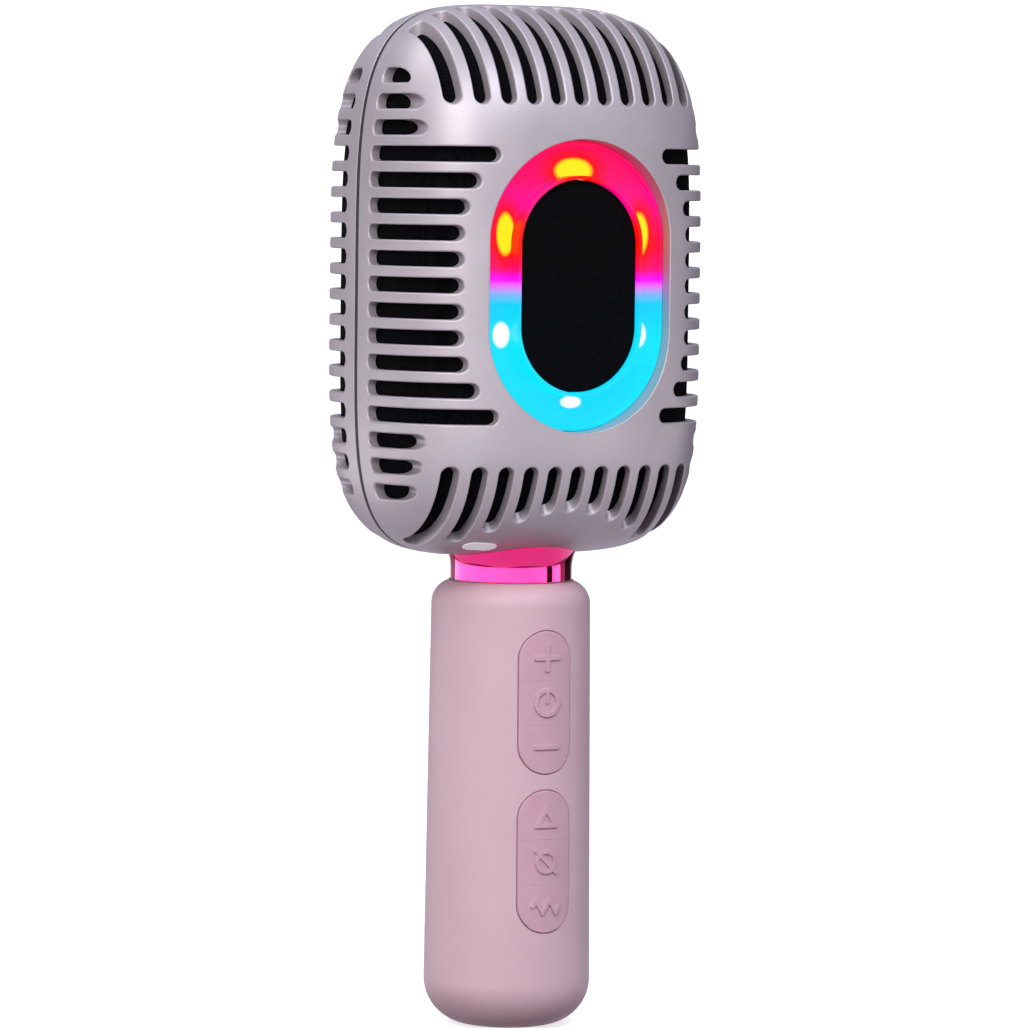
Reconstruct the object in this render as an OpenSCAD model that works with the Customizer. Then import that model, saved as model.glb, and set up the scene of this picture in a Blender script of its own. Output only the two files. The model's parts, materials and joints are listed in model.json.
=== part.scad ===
// Hand-held wireless karaoke microphone: a slotted speaker head with a light ring, on a tapered handle.
// It stands upright on its flat base. The origin is the centre of the base, and the front faces -Y.

/* [Head] */
// Width of the head, side to side
head_w = 80.6; // [79:0.2:83]
// Depth of the head, front to back
head_d = 70.6; // [69:0.2:73]
// Height of the head
head_h = 126; // [124:1:130]
// Wall of the two head shells
shell_wall = 2.2; // [2:0.1:2.4]
// Width of the line where the two shells meet
seam_w = 0.5; // [0.3:0.1:0.6]

/* [Slots] */
// Pitch of the slots
slot_pitch = 5.87; // [5.8:0.01:5.95]
// Width of each slot
slot_w = 3.4; // [3:0.1:3.6]
// Slots up each side of a shell
side_slots = 17; // [15:2:17]
// Slots across the top and the bottom of a shell
end_slots = 11; // [9:2:11]

/* [Light ring] */
// Width of the ring's opening in the front shell
ring_w = 45.5; // [45:0.1:46]
// Height of the ring's opening in the front shell
ring_h = 65.8; // [65:0.1:66]
// Width of the cloth inside the ring
cloth_w = 29.4; // [29:0.1:30]
// Height of the cloth inside the ring
cloth_h = 47.7; // [47:0.1:48]

/* [Handle] */
// Length of the handle
handle_h = 103; // [102:1:104]
// Diameter of the handle at its foot
handle_d = 38.5; // [38.2:0.1:39]
// Diameter of the handle at its shoulder
shoulder_d = 36.7; // [36.5:0.1:37]
// Diameter of the neck
neck_d = 28; // [27.6:0.1:28.4]

/* [Keys] */
// Width of each keypad
pad_w = 13.3; // [13:0.1:13.6]
// Length of each keypad
pad_h = 33; // [32.6:0.1:33.2]
// Pitch of the keys on a keypad
key_pitch = 10.2; // [10:0.1:10.4]
// Height of the middle of the upper keypad
upper_pad_z = 76; // [75.8:0.1:76.4]
// Height of the middle of the lower keypad
lower_pad_z = 39.5; // [39:0.1:39.8]
// How far a key goes in
key_travel = 0.4; // [0.3:0.05:0.4]

/* [Hidden] */

$fn = 64;
tiny = 0.01;

// Head: its middle, and the middle of its face pattern
head_z = handle_h + 6 + head_h / 2;
face_z = head_z - 0.7;
pearl = [0.78, 0.74, 0.78];
pink = [0.84, 0.70, 0.75];
hot_pink = [0.95, 0.25, 0.55];
black = [0.08, 0.08, 0.09];
white = [0.93, 0.93, 0.92];
steel = [0.72, 0.73, 0.75];
board_green = [0.10, 0.32, 0.20];
plastic_grey = [0.30, 0.31, 0.33];

// Facets of the head's curved surfaces
head_turns = 48;
head_levels = 9;
liner_turns = 36;
liner_levels = 6;

// Slots
slot_r = slot_w / 2;
seam_margin = 5.8;
slot_gap = 5.3;
end_slot_tip = 40.6;
neck_clear_r = 28.6;
short_rows = 3;
short_slot_x = 34.2;
far = 60;

// Light ring, from the front to the back
ring_r = ring_w / 2;
ring_straight = ring_h / 2 - ring_r;
cloth_r = cloth_w / 2;
cloth_straight = cloth_h / 2 - cloth_r;
ring_fit = 0.2;
lip_front = -33;
outer_wall_front = -29.8;
floor_front = -28.6;
floor_back = -27.4;
channel_wall = 0.8;
cloth_front = -31.6;
cloth_back = -30.9;
board_front = -25.4;
board_t = 1.2;
lamp_size = [2.8, 1.9, 2.8];
reflector_t = 0.9;
rim_t = 1.5;
rim_back = -27;
post_r = 1.8;
post_x = 17.4;
post_rise = 27.4;

// Inner frame and its bosses
frame_y = -0.2;
frame_t = 2;
frame_inset = 4.6;
boss_r = 2.8;
boss_x = 26;
boss_rise = 35.5;

// Liner behind the slots
liner_out = 2.7;
liner_in = 3.7;
liner_opening_r = 26.6;

// Speaker, facing the rear
speaker_z = head_z + 4;
speaker_r = 28;
speaker_hole_r = 23.8;

// Neck
neck_r = neck_d / 2;
tube_r = 12.8;
tube_wall = 2;
tube_bottom = 93;
flange_z = 113.8;
flange_t = 2;
flange_x = 20.4;
flange_y = 7.2;
neck_screw_x = 17.2;
neck_screw_y = 4.2;

// Handle
foot_r = handle_d / 2;
shoulder_r = shoulder_d / 2;
foot_fillet = 10.5;
shoulder_fillet = 5.5;
cavity_r = 16.2;
floor_t = 2.5;
roof_t = 3.3;
cap_r = 8.65;
arc_steps = 10;

// Keys, from the front to the back
key_gap = 0.15;
key_back = -16.6;
key_rise = 0.3;
symbol_rise = 0.35;
stem_r = 1.5;
web_front = -15.95;
web_t = 0.6;
web_w = 14.2;
key_board_front = -11.3;
switch_size = 4.6;
switch_back_to_front = 2.1;
plunger_front = -14.2;
stem_back = plunger_front - key_travel - 0.05;

// Battery and boards
battery_r = 9.2;
battery_h = 65.2;
battery_y = 4.8;
battery_z = 12.3;
cradle_in = 9.4;
cradle_out = 10.9;
cradle_end_t = 2;
main_board_front = -6.5;
main_board_w = 24;
main_board_bottom = 4;
main_board_top = 91;
rail_x = 11.4;
rail_w = 2;
board_screw_z = [20, 70];
usb_w = 9;
usb_t = 3.2;
usb_y = -3.7;
usb_h = 7.3;

// ---------- Head form ----------

// Half width of the head at t, from -1 at its bottom to 1 at its top, as a share of the widest
function side_power(t) = t < 0 ? 5 : 4;
function width_share(t) = pow(1 - pow(abs(t), side_power(t)), 1 / side_power(t));

// Half depth of the head at t, as a share of the deepest
function face_power(t) = t < 0 ? 5.5 : 4.5;
function depth_share(t) = sqrt(1 - pow(abs(t), face_power(t)));

// A plan section of the head is a squared-off ellipse
plan_power = 2.95;
function squared(v, power) = sign(v) * pow(abs(v), 2 / power);

// Height of level i, from -levels to levels, crowded towards the top and the bottom
function level(i, levels) = squared(sin(90 * i / levels), 4);

function head_ring(i, levels, turns, inset) =
    let (t = level(i, levels), hw = (head_w / 2 - inset) * width_share(t),
         hd = (head_d / 2 - inset) * depth_share(t), z = (head_h / 2 - inset) * t)
    [for (k = [0 : turns - 1])
        let (a = 360 * k / turns)
        [hw * squared(cos(a), plan_power), hd * squared(sin(a), plan_power), z]];

// The whole head as a closed form, inset from its outer surface
module head_form(inset = 0, turns = head_turns, levels = head_levels) {
    rings = 2 * levels - 1;
    points = concat(
        [for (i = [1 - levels : levels - 1]) each head_ring(i, levels, turns, inset)],
        [[0, 0, inset - head_h / 2], [0, 0, head_h / 2 - inset]]);
    bottom = rings * turns;
    top = bottom + 1;
    sides = [for (j = [0 : rings - 2], k = [0 : turns - 1])
        let (a = j * turns + k, b = j * turns + (k + 1) % turns)
        each [[a, a + turns, b + turns], [a, b + turns, b]]];
    caps = [for (k = [0 : turns - 1])
        let (n = (k + 1) % turns, last = (rings - 1) * turns)
        each [[bottom, k, n], [top, last + n, last + k]]];
    translate([0, 0, head_z])
        polyhedron(points, concat(sides, caps));
}

// The half of space in front of the seam, less the margin
module front_half(margin) {
    translate([-far, -2 * far, 0])
        cube([2 * far, 2 * far - margin, 300]);
}

// ---------- Shared shapes ----------

// A stadium, upright, by its end radius and the half length of its straight sides
module stadium(r, straight) {
    square([2 * r, 2 * straight], center = true);
    for (s = [-1, 1])
        translate([0, s * straight])
            circle(r);
}

// A flat shape in the XZ plane, given depth from y = front to y = back
module upright(front, back, z = 0) {
    translate([0, back, z])
        rotate([90, 0, 0])
            linear_extrude(back - front)
                children();
}

// A rod along Y
module rod_y(r, front, back, x = 0, z = 0) {
    translate([x, back, z])
        rotate([90, 0, 0])
            cylinder(h = back - front, r = r);
}

// A copy on each side of the middle
module both_sides() {
    for (s = [0, 1])
        mirror([s, 0, 0])
            children();
}

// The four places of a rectangle about the face's middle
module four_places(x, rise) {
    for (sx = [-1, 1], sz = [-1, 1])
        translate([sx * x, 0, face_z + sz * rise])
            children();
}

// A body of revolution about Z, from a flat outline
module turned() {
    rotate_extrude($fn = 96)
        children();
}

// ---------- Slots ----------

// Where a side slot ends on the face: it keeps clear of the ring
function slot_end_x(rise) =
    let (over = max(0, abs(rise) - ring_straight))
    sqrt(pow(ring_r + slot_gap, 2) - over * over);

module side_slot(end_x) {
    seam_y = seam_margin + slot_r;
    translate([end_x + slot_r, -far, -slot_r])
        cube([far, far - seam_y, slot_w]);
    rod_y(slot_r, -far, -10, end_x + slot_r);
    translate([28, -seam_y, 0])
        rotate([0, 90, 0])
            cylinder(h = far, r = slot_r);
}

module end_slot(tip, margin) {
    seam_y = margin + slot_r;
    translate([-slot_r, -far, tip + slot_r])
        cube([slot_w, far - seam_y, far]);
    rod_y(slot_r, -far, -12, 0, tip + slot_r);
    translate([0, -seam_y, tip + slot_r])
        cylinder(h = far, r = slot_r);
}

module shell_slots() {
    half_rows = (side_slots - 1) / 2;
    half_columns = (end_slots - 1) / 2;
    for (i = [-half_rows : half_rows]) {
        rise = i * slot_pitch;
        long = abs(i) <= half_rows - short_rows;
        translate([0, 0, face_z + rise])
            both_sides()
                side_slot(long ? slot_end_x(rise) : short_slot_x);
    }
    for (k = [-half_columns : half_columns]) {
        x = k * slot_pitch;
        translate([x, 0, face_z]) {
            end_slot(end_slot_tip, seam_margin);
            mirror([0, 0, 1])
                end_slot(end_slot_tip, max(seam_margin, sqrt(max(0, pow(neck_clear_r, 2) - x * x))));
        }
    }
}

// ---------- Head shells ----------

// One half shell, facing -Y, with its slots, its opening and its bosses
module half_shell() {
    difference() {
        union() {
            intersection() {
                difference() {
                    head_form();
                    head_form(shell_wall);
                }
                front_half(seam_w / 2);
            }
            intersection() {
                head_form(shell_wall / 2);
                for (s = [-1, 1])
                    translate([s * neck_screw_x, -neck_screw_y, head_z - head_h / 2])
                        cylinder(h = flange_z - head_z + head_h / 2, r = boss_r);
            }
            children();
        }
        shell_slots();
        upright(-far, -20, face_z)
            stadium(ring_r, ring_straight);
        translate([0, 0, head_z - head_h / 2 - 1])
            cylinder(h = 8, r = tube_r + 0.15);
        for (s = [-1, 1])
            translate([s * neck_screw_x, -neck_screw_y, head_z - head_h / 2 + 1])
                cylinder(h = 6, r = 1.2);
    }
}

// The posts that the inner frame and the lamp board are screwed to, and the rim that the light ring sits in
module front_bosses() {
    difference() {
        intersection() {
            head_form(shell_wall / 2);
            union() {
                four_places(boss_x, boss_rise)
                    rod_y(boss_r, -far, frame_y);
                four_places(post_x, post_rise)
                    rod_y(post_r, -far, board_front);
                upright(-far, rim_back, face_z)
                    stadium(ring_r + rim_t, ring_straight);
            }
        }
        four_places(boss_x, boss_rise)
            rod_y(1.1, -12, 1);
        four_places(post_x, post_rise)
            rod_y(0.9, -29.5, 0);
    }
}

module front_shell() {
    color(pearl)
        half_shell()
            front_bosses();
}

module rear_shell() {
    color(pearl)
        mirror([0, 1, 0])
            half_shell();
}

// The flat outline of the head at its seam, inset
module seam_outline(inset) {
    steps = 72;
    translate([0, head_z])
        polygon([for (k = [0 : steps - 1])
            let (a = 360 * k / steps, t = squared(sin(a), 4), side = sign(cos(a)))
            [side * (head_w / 2 - inset) * width_share(t), (head_h / 2 - inset) * t]]);
}

module seam_gasket() {
    color(black)
        difference() {
            upright(-seam_w / 2, seam_w / 2)
                difference() {
                    seam_outline(0.5);
                    seam_outline(shell_wall - 0.3);
                }
            translate([0, 0, head_z - head_h / 2 - 1])
                cylinder(h = 8, r = tube_r + 0.15);
        }
}

// The black cloth-faced mesh behind the slots, one half, facing -Y
module half_liner() {
    difference() {
        intersection() {
            difference() {
                head_form(liner_out, liner_turns, liner_levels);
                head_form(liner_in, liner_turns, liner_levels);
            }
            front_half(0.6);
        }
        upright(-far, -10, face_z)
            stadium(liner_opening_r, ring_straight);
        four_places(boss_x, boss_rise)
            rod_y(boss_r + 0.4, -far, -5);
        translate([-flange_x - 1, -flange_y - 1, head_z - head_h / 2])
            cube([2 * flange_x + 2, 2 * flange_y + 2, 9]);
        translate([0, 0, head_z - head_h / 2])
            cylinder(h = 9, r = tube_r + 3);
    }
}

module front_liner() {
    color(black)
        half_liner();
}

module rear_liner() {
    color(black)
        mirror([0, 1, 0])
            half_liner();
}

// ---------- Light ring ----------

// A frosted channel, open to the front: its floor, its low outer wall and its high inner wall
module light_ring() {
    color([0.95, 0.75, 0.95])
        difference() {
            union() {
                upright(floor_front, floor_back, face_z)
                    stadium(ring_r - ring_fit, ring_straight);
                upright(outer_wall_front, floor_front + tiny, face_z)
                    difference() {
                        stadium(ring_r - ring_fit, ring_straight);
                        stadium(ring_r - ring_fit - channel_wall, ring_straight);
                    }
                upright(lip_front, floor_front + tiny, face_z)
                    stadium(cloth_r + ring_fit + channel_wall, cloth_straight);
            }
            upright(-far, 0, face_z)
                stadium(cloth_r + ring_fit, cloth_straight);
        }
}

// The white walls that the lamps shine between
module ring_reflector() {
    color(white)
        upright(floor_back, board_front, face_z) {
            difference() {
                stadium(ring_r - ring_fit, ring_straight);
                stadium(ring_r - ring_fit - reflector_t, ring_straight);
            }
            difference() {
                stadium(cloth_r + ring_fit + reflector_t, cloth_straight);
                stadium(cloth_r + ring_fit, cloth_straight);
            }
        }
}

module led_board() {
    ear_r = 3;
    color(board_green)
        difference() {
            upright(board_front, board_front + board_t, face_z) {
                stadium(ring_r - ring_fit, ring_straight);
                for (sx = [-1, 1], sz = [-1, 1])
                    translate([sx * post_x, sz * post_rise])
                        circle(ear_r);
            }
            four_places(post_x, post_rise)
                rod_y(1, -far, 0);
            rod_y(2.2, -far, 0, 0, face_z - 15);
        }
}

// The lamps lie towards the inside of the ring
lamp_x = 17.3;
lamp_side_rise = 11.5;
lamp_end_rise = 26.4;
lamp_places = [
    [0, lamp_end_rise], [0, -lamp_end_rise],
    for (sx = [-1, 1], sz = [-1, 1]) [sx * lamp_x, sz * lamp_side_rise]
];

module leds() {
    color([1, 0.95, 0.7])
        for (p = lamp_places)
            translate([p[0], board_front - lamp_size[1] / 2, face_z + p[1]])
                cube(lamp_size, center = true);
}

// A screw along Y, with its head at the back
module screw_y(shank_r, length, head_r, head_t, back) {
    rod_y(shank_r, back - length, back + tiny);
    rod_y(head_r, back, back + head_t);
}

module ring_screws() {
    color(steel)
        four_places(post_x, post_rise)
            screw_y(0.8, 4.8, 1.9, 1.2, board_front + board_t);
}

module front_cloth() {
    color(black)
        upright(cloth_front, cloth_back, face_z)
            stadium(cloth_r, cloth_straight);
}

// The plate with bars that holds the cloth flat
module cloth_frame() {
    bar_pitch = 4;
    bars = 11;
    color(plastic_grey)
        upright(cloth_back, -29.4, face_z)
            difference() {
                stadium(cloth_r, cloth_straight);
                intersection() {
                    stadium(cloth_r - 1.5, cloth_straight);
                    for (i = [0 : bars - 1])
                        translate([0, (i - (bars - 1) / 2) * bar_pitch])
                            square([2 * cloth_r, bar_pitch - 1.2], center = true);
                }
            }
}

module mic_capsule() {
    color(steel)
        rod_y(4.85, -29.1, -25.9, 0, face_z);
}

module capsule_holder() {
    color(black)
        difference() {
            rod_y(7.4, -29.2, board_front, 0, face_z);
            rod_y(4.95, -29.3, -25.8, 0, face_z);
        }
}

// ---------- Rear opening ----------

rear_band = 4.2;

module rear_bezel() {
    color(pearl)
        upright(30.6, 33.4, face_z)
            difference() {
                stadium(ring_r - ring_fit, ring_straight);
                stadium(ring_r - ring_fit - rear_band, ring_straight);
            }
}

module rear_cloth() {
    color(black)
        upright(31.4, 32, face_z)
            stadium(ring_r - ring_fit - rear_band - 0.1, ring_straight);
}

module rear_grille() {
    bar_pitch = 5;
    bars = 12;
    color(plastic_grey)
        upright(29.4, 30.6, face_z)
            difference() {
                stadium(ring_r - ring_fit, ring_straight);
                intersection() {
                    stadium(ring_r - ring_fit - rear_band - 1, ring_straight);
                    for (i = [0 : bars - 1])
                        translate([0, (i - (bars - 1) / 2) * bar_pitch])
                            square([2 * ring_r, bar_pitch - 1.4], center = true);
                }
            }
}

// ---------- Inner frame and speaker ----------

module inner_frame() {
    color(plastic_grey)
        difference() {
            upright(frame_y, frame_y + frame_t)
                difference() {
                    seam_outline(frame_inset);
                    translate([0, speaker_z])
                        circle(speaker_hole_r);
                }
            four_places(boss_x, boss_rise)
                rod_y(1.2, -5, 5);
            speaker_places()
                rod_y(1.1, -5, 5);
            translate([-flange_x - 1, -far, 0])
                cube([2 * flange_x + 2, 2 * far, flange_z + flange_t + 6]);
        }
}

module frame_screws() {
    color(steel)
        four_places(boss_x, boss_rise)
            screw_y(1, 10, 2.2, 1.5, frame_y + frame_t);
}

// The four screw places round the speaker
module speaker_places() {
    for (a = [45 : 90 : 315])
        translate([25.9 * cos(a), 0, speaker_z + 25.9 * sin(a)])
            children();
}

// A body of revolution about the speaker's axis, its outline given as [radius, y]
module speaker_turned() {
    translate([0, 0, speaker_z])
        rotate([-90, 0, 0])
            turned()
                children();
}

flange_back = frame_y + frame_t + 1.2;

module speaker_basket() {
    seat = frame_y + frame_t;
    color(plastic_grey)
        difference() {
            speaker_turned()
                polygon([
                    [22.8, flange_back], [speaker_r, flange_back], [speaker_r, seat],
                    [23.6, seat], [23.6, -1.5], [15.2, -8], [7.2, -8], [7.2, -7], [14.6, -7], [22.8, -1]
                ]);
            speaker_places()
                rod_y(1.1, -5, 10);
        }
}

module speaker_surround() {
    color(black)
        speaker_turned()
            difference() {
                translate([21.9, 0.8])
                    circle(0.85, $fn = 48);
                translate([21.9, 0.3])
                    circle(0.5, $fn = 48);
            }
}

module speaker_cone() {
    color([0.12, 0.12, 0.13])
        speaker_turned()
            polygon([[6.6, -5.6], [7.4, -5.6], [20.8, 0.1], [20.8, 0.8], [20, 0.8], [6.6, -4.9]]);
}

module dust_cap() {
    color(black)
        speaker_turned()
            polygon([
                for (i = [0 : 6]) [6.5 * cos(15 * i), -4.9 + 2.2 * sin(15 * i)],
                for (i = [6 : -1 : 0]) [5.9 * cos(15 * i), -4.9 + 1.7 * sin(15 * i)]
            ]);
}

module voice_coil() {
    color([0.72, 0.42, 0.22])
        speaker_turned()
            translate([6.1, -11])
                square([0.4, 6]);
}

module speaker_magnet() {
    color([0.25, 0.25, 0.27])
        speaker_turned()
            translate([8, -14])
                square([7, 6]);
}

module speaker_yoke() {
    color(steel)
        speaker_turned()
            polygon([[0, -16], [14.4, -16], [14.4, -14], [5.6, -14], [5.6, -7.4], [0, -7.4]]);
}

module speaker_screws() {
    color(steel)
        speaker_places()
            screw_y(1, 5, 1.9, 1.2, flange_back);
}

// ---------- Neck ----------

// The plated collar: a short cylinder that flares to meet the head
module neck_collar() {
    flare_r = 10;
    flare_angle = 60;
    straight_h = 2.6;
    color(hot_pink)
        difference() {
            translate([0, 0, handle_h])
                turned()
                    polygon([
                        [tube_r + 0.15, 0], [neck_r, 0],
                        for (i = [0 : arc_steps])
                            let (a = flare_angle * i / arc_steps)
                            [neck_r + flare_r * (1 - cos(a)), straight_h + flare_r * sin(a)],
                        [tube_r + 0.15, straight_h + flare_r * sin(flare_angle)]
                    ]);
            head_form(-0.05);
        }
}

module neck_tube() {
    color(steel)
        difference() {
            union() {
                translate([0, 0, tube_bottom])
                    cylinder(h = flange_z + flange_t - tube_bottom, r = tube_r);
                translate([0, 0, flange_z])
                    cylinder(h = flange_t, r = tube_r + 1.6);
                translate([-flange_x, -flange_y, flange_z])
                    cube([2 * flange_x, 2 * flange_y, flange_t]);
            }
            translate([0, 0, tube_bottom - 1])
                cylinder(h = 40, r = tube_r - tube_wall);
            for (sx = [-1, 1], sy = [-1, 1])
                translate([sx * neck_screw_x, sy * neck_screw_y, flange_z - 1])
                    cylinder(h = flange_t + 2, r = 1.2);
        }
}

module neck_nut() {
    color(steel)
        translate([0, 0, handle_h - roof_t - 4])
            difference() {
                cylinder(h = 4, r = 15.4, $fn = 8);
                translate([0, 0, -1])
                    cylinder(h = 6, r = tube_r + 0.05);
            }
}

module neck_screws() {
    color(steel)
        for (sx = [-1, 1], sy = [-1, 1])
            translate([sx * neck_screw_x, sy * neck_screw_y, flange_z + flange_t]) {
                translate([0, 0, -5.4])
                    cylinder(h = 5.4 + tiny, r = 1.05);
                cylinder(h = 1.4, r = 2.1);
            }
}

module wire_loom() {
    color(black)
        translate([0, 0, 92])
            cylinder(h = 26, r = 2.4);
}

// The head's outer surface on its underside, for a place given in plan: its height is found by halving
function outside(x, y, t) =
    pow(abs(x) / (head_w / 2 * width_share(t)), plan_power)
    + pow(abs(y) / (head_d / 2 * depth_share(t)), plan_power) - 1;
function underside_t(x, y, low = -0.9999, high = -0.5, steps = 24) =
    steps == 0 ? (low + high) / 2
    : let (mid = (low + high) / 2)
      outside(x, y, mid) > 0 ? underside_t(x, y, mid, high, steps - 1) : underside_t(x, y, low, mid, steps - 1);
function underside_z(x, y) = head_z + head_h / 2 * underside_t(x, y);

sticker_x = -16.4;
sticker_y = -16.2;
sticker_r = 2.4;
sticker_straight = 1.7;

// A plain white oval, flat against the underside and touching it at its middle
module underside_sticker() {
    step = 0.5;
    slope_x = (underside_z(sticker_x + step, sticker_y) - underside_z(sticker_x - step, sticker_y)) / (2 * step);
    slope_y = (underside_z(sticker_x, sticker_y + step) - underside_z(sticker_x, sticker_y - step)) / (2 * step);
    color(white)
        translate([sticker_x, sticker_y, underside_z(sticker_x, sticker_y)])
            rotate([atan(slope_y), -atan(slope_x * cos(atan(slope_y))), 0])
                translate([0, 0, -0.25])
                    linear_extrude(0.15)
                        rotate(90)
                            stadium(sticker_r, sticker_straight);
}

// ---------- Handle ----------

// The outer radius of the handle's straight taper at height z
function taper_r(z) =
    let (low = foot_fillet, high = handle_h - shoulder_fillet)
    foot_r + (shoulder_r - foot_r) * (z - low) / (high - low);

module handle_outline() {
    polygon([
        [0, 0],
        for (i = [0 : arc_steps])
            let (a = 90 * i / arc_steps)
            [foot_r - foot_fillet + foot_fillet * sin(a), foot_fillet * (1 - cos(a))],
        for (i = [0 : arc_steps])
            let (a = 80 * i / arc_steps, top = handle_h - shoulder_fillet)
            [shoulder_r - shoulder_fillet * (1 - cos(a)), top + shoulder_fillet * sin(a)],
        [neck_r + 0.4, handle_h], [0, handle_h]
    ]);
}

module handle_cavity() {
    polygon([
        [0, floor_t], [13.2, floor_t], [14.6, 4], [16, 8], [cavity_r, 12],
        [cavity_r, handle_h - roof_t - 3], [cavity_r - 0.7, handle_h - roof_t], [0, handle_h - roof_t]
    ]);
}

module handle_body() {
    color(pink)
        difference() {
            turned()
                difference() {
                    handle_outline();
                    handle_cavity();
                }
            translate([0, 0, -1])
                cylinder(h = 6, r = cap_r + 0.1);
            translate([0, 0, handle_h - 10])
                cylinder(h = 20, r = tube_r + 0.15);
            for (z = [lower_pad_z, upper_pad_z]) {
                upright(-far, -10, z)
                    stadium(pad_w / 2, pad_h / 2 - pad_w / 2);
                upright(web_front, -10, z)
                    stadium(web_w / 2 + 0.1, pad_h / 2 - pad_w / 2 + 0.1);
            }
        }
}

module base_cap() {
    color(black)
        difference() {
            union() {
                cylinder(h = 2.2, r = cap_r);
                translate([0, 0, 2.2 - tiny])
                    cylinder(h = 1.2, r = cap_r - 1);
            }
            translate([0, usb_y, -1])
                linear_extrude(6)
                    rotate(90)
                        stadium(usb_t / 2 + 0.2, usb_w / 2 - usb_t / 2);
        }
}

module usb_socket() {
    wall = 0.35;
    color(steel)
        translate([0, usb_y, 0.5])
            difference() {
                linear_extrude(usb_h)
                    rotate(90)
                        stadium(usb_t / 2, usb_w / 2 - usb_t / 2);
                translate([0, 0, -1])
                    linear_extrude(usb_h - 1)
                        rotate(90)
                            difference() {
                                stadium(usb_t / 2 - wall, usb_w / 2 - usb_t / 2);
                                square([0.7, usb_w - 2.4], center = true);
                            }
            }
}

// ---------- Keys ----------

// The handle's taper as a solid, its radius grown
module taper(grow) {
    low = foot_fillet;
    high = handle_h - shoulder_fillet;
    translate([0, 0, low])
        cylinder(h = high - low, r1 = taper_r(low) + grow, r2 = taper_r(high) + grow, $fn = 96);
}

// The part of a keypad that belongs to the key in place -1, 0 or 1
module key_outline(place) {
    half = pad_h / 2;
    low = place == -1 ? -half : (place - 0.5) * key_pitch + key_gap / 2;
    high = place == 1 ? half : (place + 0.5) * key_pitch - key_gap / 2;
    intersection() {
        stadium(pad_w / 2 - key_gap, half - pad_w / 2);
        translate([-pad_w, low])
            square([2 * pad_w, high - low]);
    }
}

// A key: its cap, its stem and the raised symbol given as a flat child
module key(pad_z, place) {
    z = pad_z + place * key_pitch;
    color(pink) {
        intersection() {
            upright(-30, key_back, pad_z)
                key_outline(place);
            taper(key_rise);
        }
        rod_y(stem_r, key_back - tiny, stem_back, 0, z);
        intersection() {
            upright(-30, key_back - 1, z)
                children();
            taper(key_rise + symbol_rise);
        }
    }
}

symbol_line = 1;

module plus_symbol() {
    square([6.4, symbol_line], center = true);
    square([symbol_line, 6.4], center = true);
}

module ring_symbol(r) {
    difference() {
        circle(r);
        circle(r - symbol_line);
    }
}

module power_symbol() {
    ring_symbol(3.3);
    translate([-symbol_line / 2, 0])
        square([symbol_line, 1.6]);
}

module minus_symbol() {
    square([6.4, symbol_line], center = true);
}

module triangle_symbol() {
    difference() {
        polygon([[-2.8, -2.4], [2.8, -2.4], [0, 2.8]]);
        polygon([[-1.2, -1.4], [1.2, -1.4], [0, 0.9]]);
    }
}

module slashed_symbol() {
    ring_symbol(2.7);
    rotate(-45)
        square([8, symbol_line * 0.9], center = true);
}

// A zigzag wave for the mode key
module wave_symbol() {
    reach = 3;
    rise = 2.4;
    for (s = [-1, 1])
        translate([s * reach / 2, 0])
            rotate(s * 62)
                square([2 * rise / sin(62) + 0.4, symbol_line], center = true);
    for (s = [-1, 1])
        translate([s * (reach + 0.6), 0])
            rotate(-s * 75)
                square([2 * rise, symbol_line], center = true);
}

module plus_key() { key(upper_pad_z, 1) plus_symbol(); }
module power_key() { key(upper_pad_z, 0) power_symbol(); }
module minus_key() { key(upper_pad_z, -1) minus_symbol(); }
module echo_key() { key(lower_pad_z, 1) triangle_symbol(); }
module mute_key() { key(lower_pad_z, 0) slashed_symbol(); }
module mode_key() { key(lower_pad_z, -1) wave_symbol(); }

// The soft web behind a keypad, with a hole for each stem
module key_web(pad_z) {
    color(pink)
        upright(web_front + 0.05, web_front + web_t, pad_z)
            difference() {
                stadium(web_w / 2, pad_h / 2 - pad_w / 2);
                for (place = [-1 : 1])
                    translate([0, place * key_pitch])
                        circle(stem_r + 0.3);
            }
}

module upper_key_web() { key_web(upper_pad_z); }
module lower_key_web() { key_web(lower_pad_z); }

module key_board() {
    low = lower_pad_z - 17.5;
    high = upper_pad_z + 16;
    color(board_green)
        translate([-6.8, key_board_front, low])
            cube([13.6, board_t, high - low]);
}

module tact_switches() {
    color(black)
        for (pad_z = [lower_pad_z, upper_pad_z], place = [-1 : 1])
            translate([0, 0, pad_z + place * key_pitch]) {
                translate([-switch_size / 2, key_board_front - switch_back_to_front, -switch_size / 2])
                    cube([switch_size, switch_back_to_front, switch_size]);
                rod_y(1, plunger_front, key_board_front - 1);
            }
}

// ---------- Boards and battery ----------

module main_board() {
    color(board_green)
        difference() {
            translate([-main_board_w / 2, main_board_front, main_board_bottom])
                cube([main_board_w, board_t, main_board_top - main_board_bottom]);
            for (s = [-1, 1], z = board_screw_z)
                rod_y(1, -20, 0, s * rail_x, z);
        }
}

module bluetooth_module() {
    color(steel)
        translate([-6, main_board_front - 2, 72])
            cube([12, 2, 16]);
}

module amplifier_chip() {
    color(black)
        translate([-3, main_board_front - 1.2, 40])
            cube([6, 1.2, 5]);
}

module board_screws() {
    color(steel)
        for (s = [-1, 1], z = board_screw_z)
            translate([s * rail_x, 0, z])
                rotate([0, 0, 180])
                    screw_y(0.7, 4.5, 1.3, 0.9, -main_board_front);
}

module battery_cell() {
    color([0.2, 0.45, 0.75])
        translate([0, battery_y, battery_z])
            cylinder(h = battery_h, r = battery_r);
}

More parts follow.
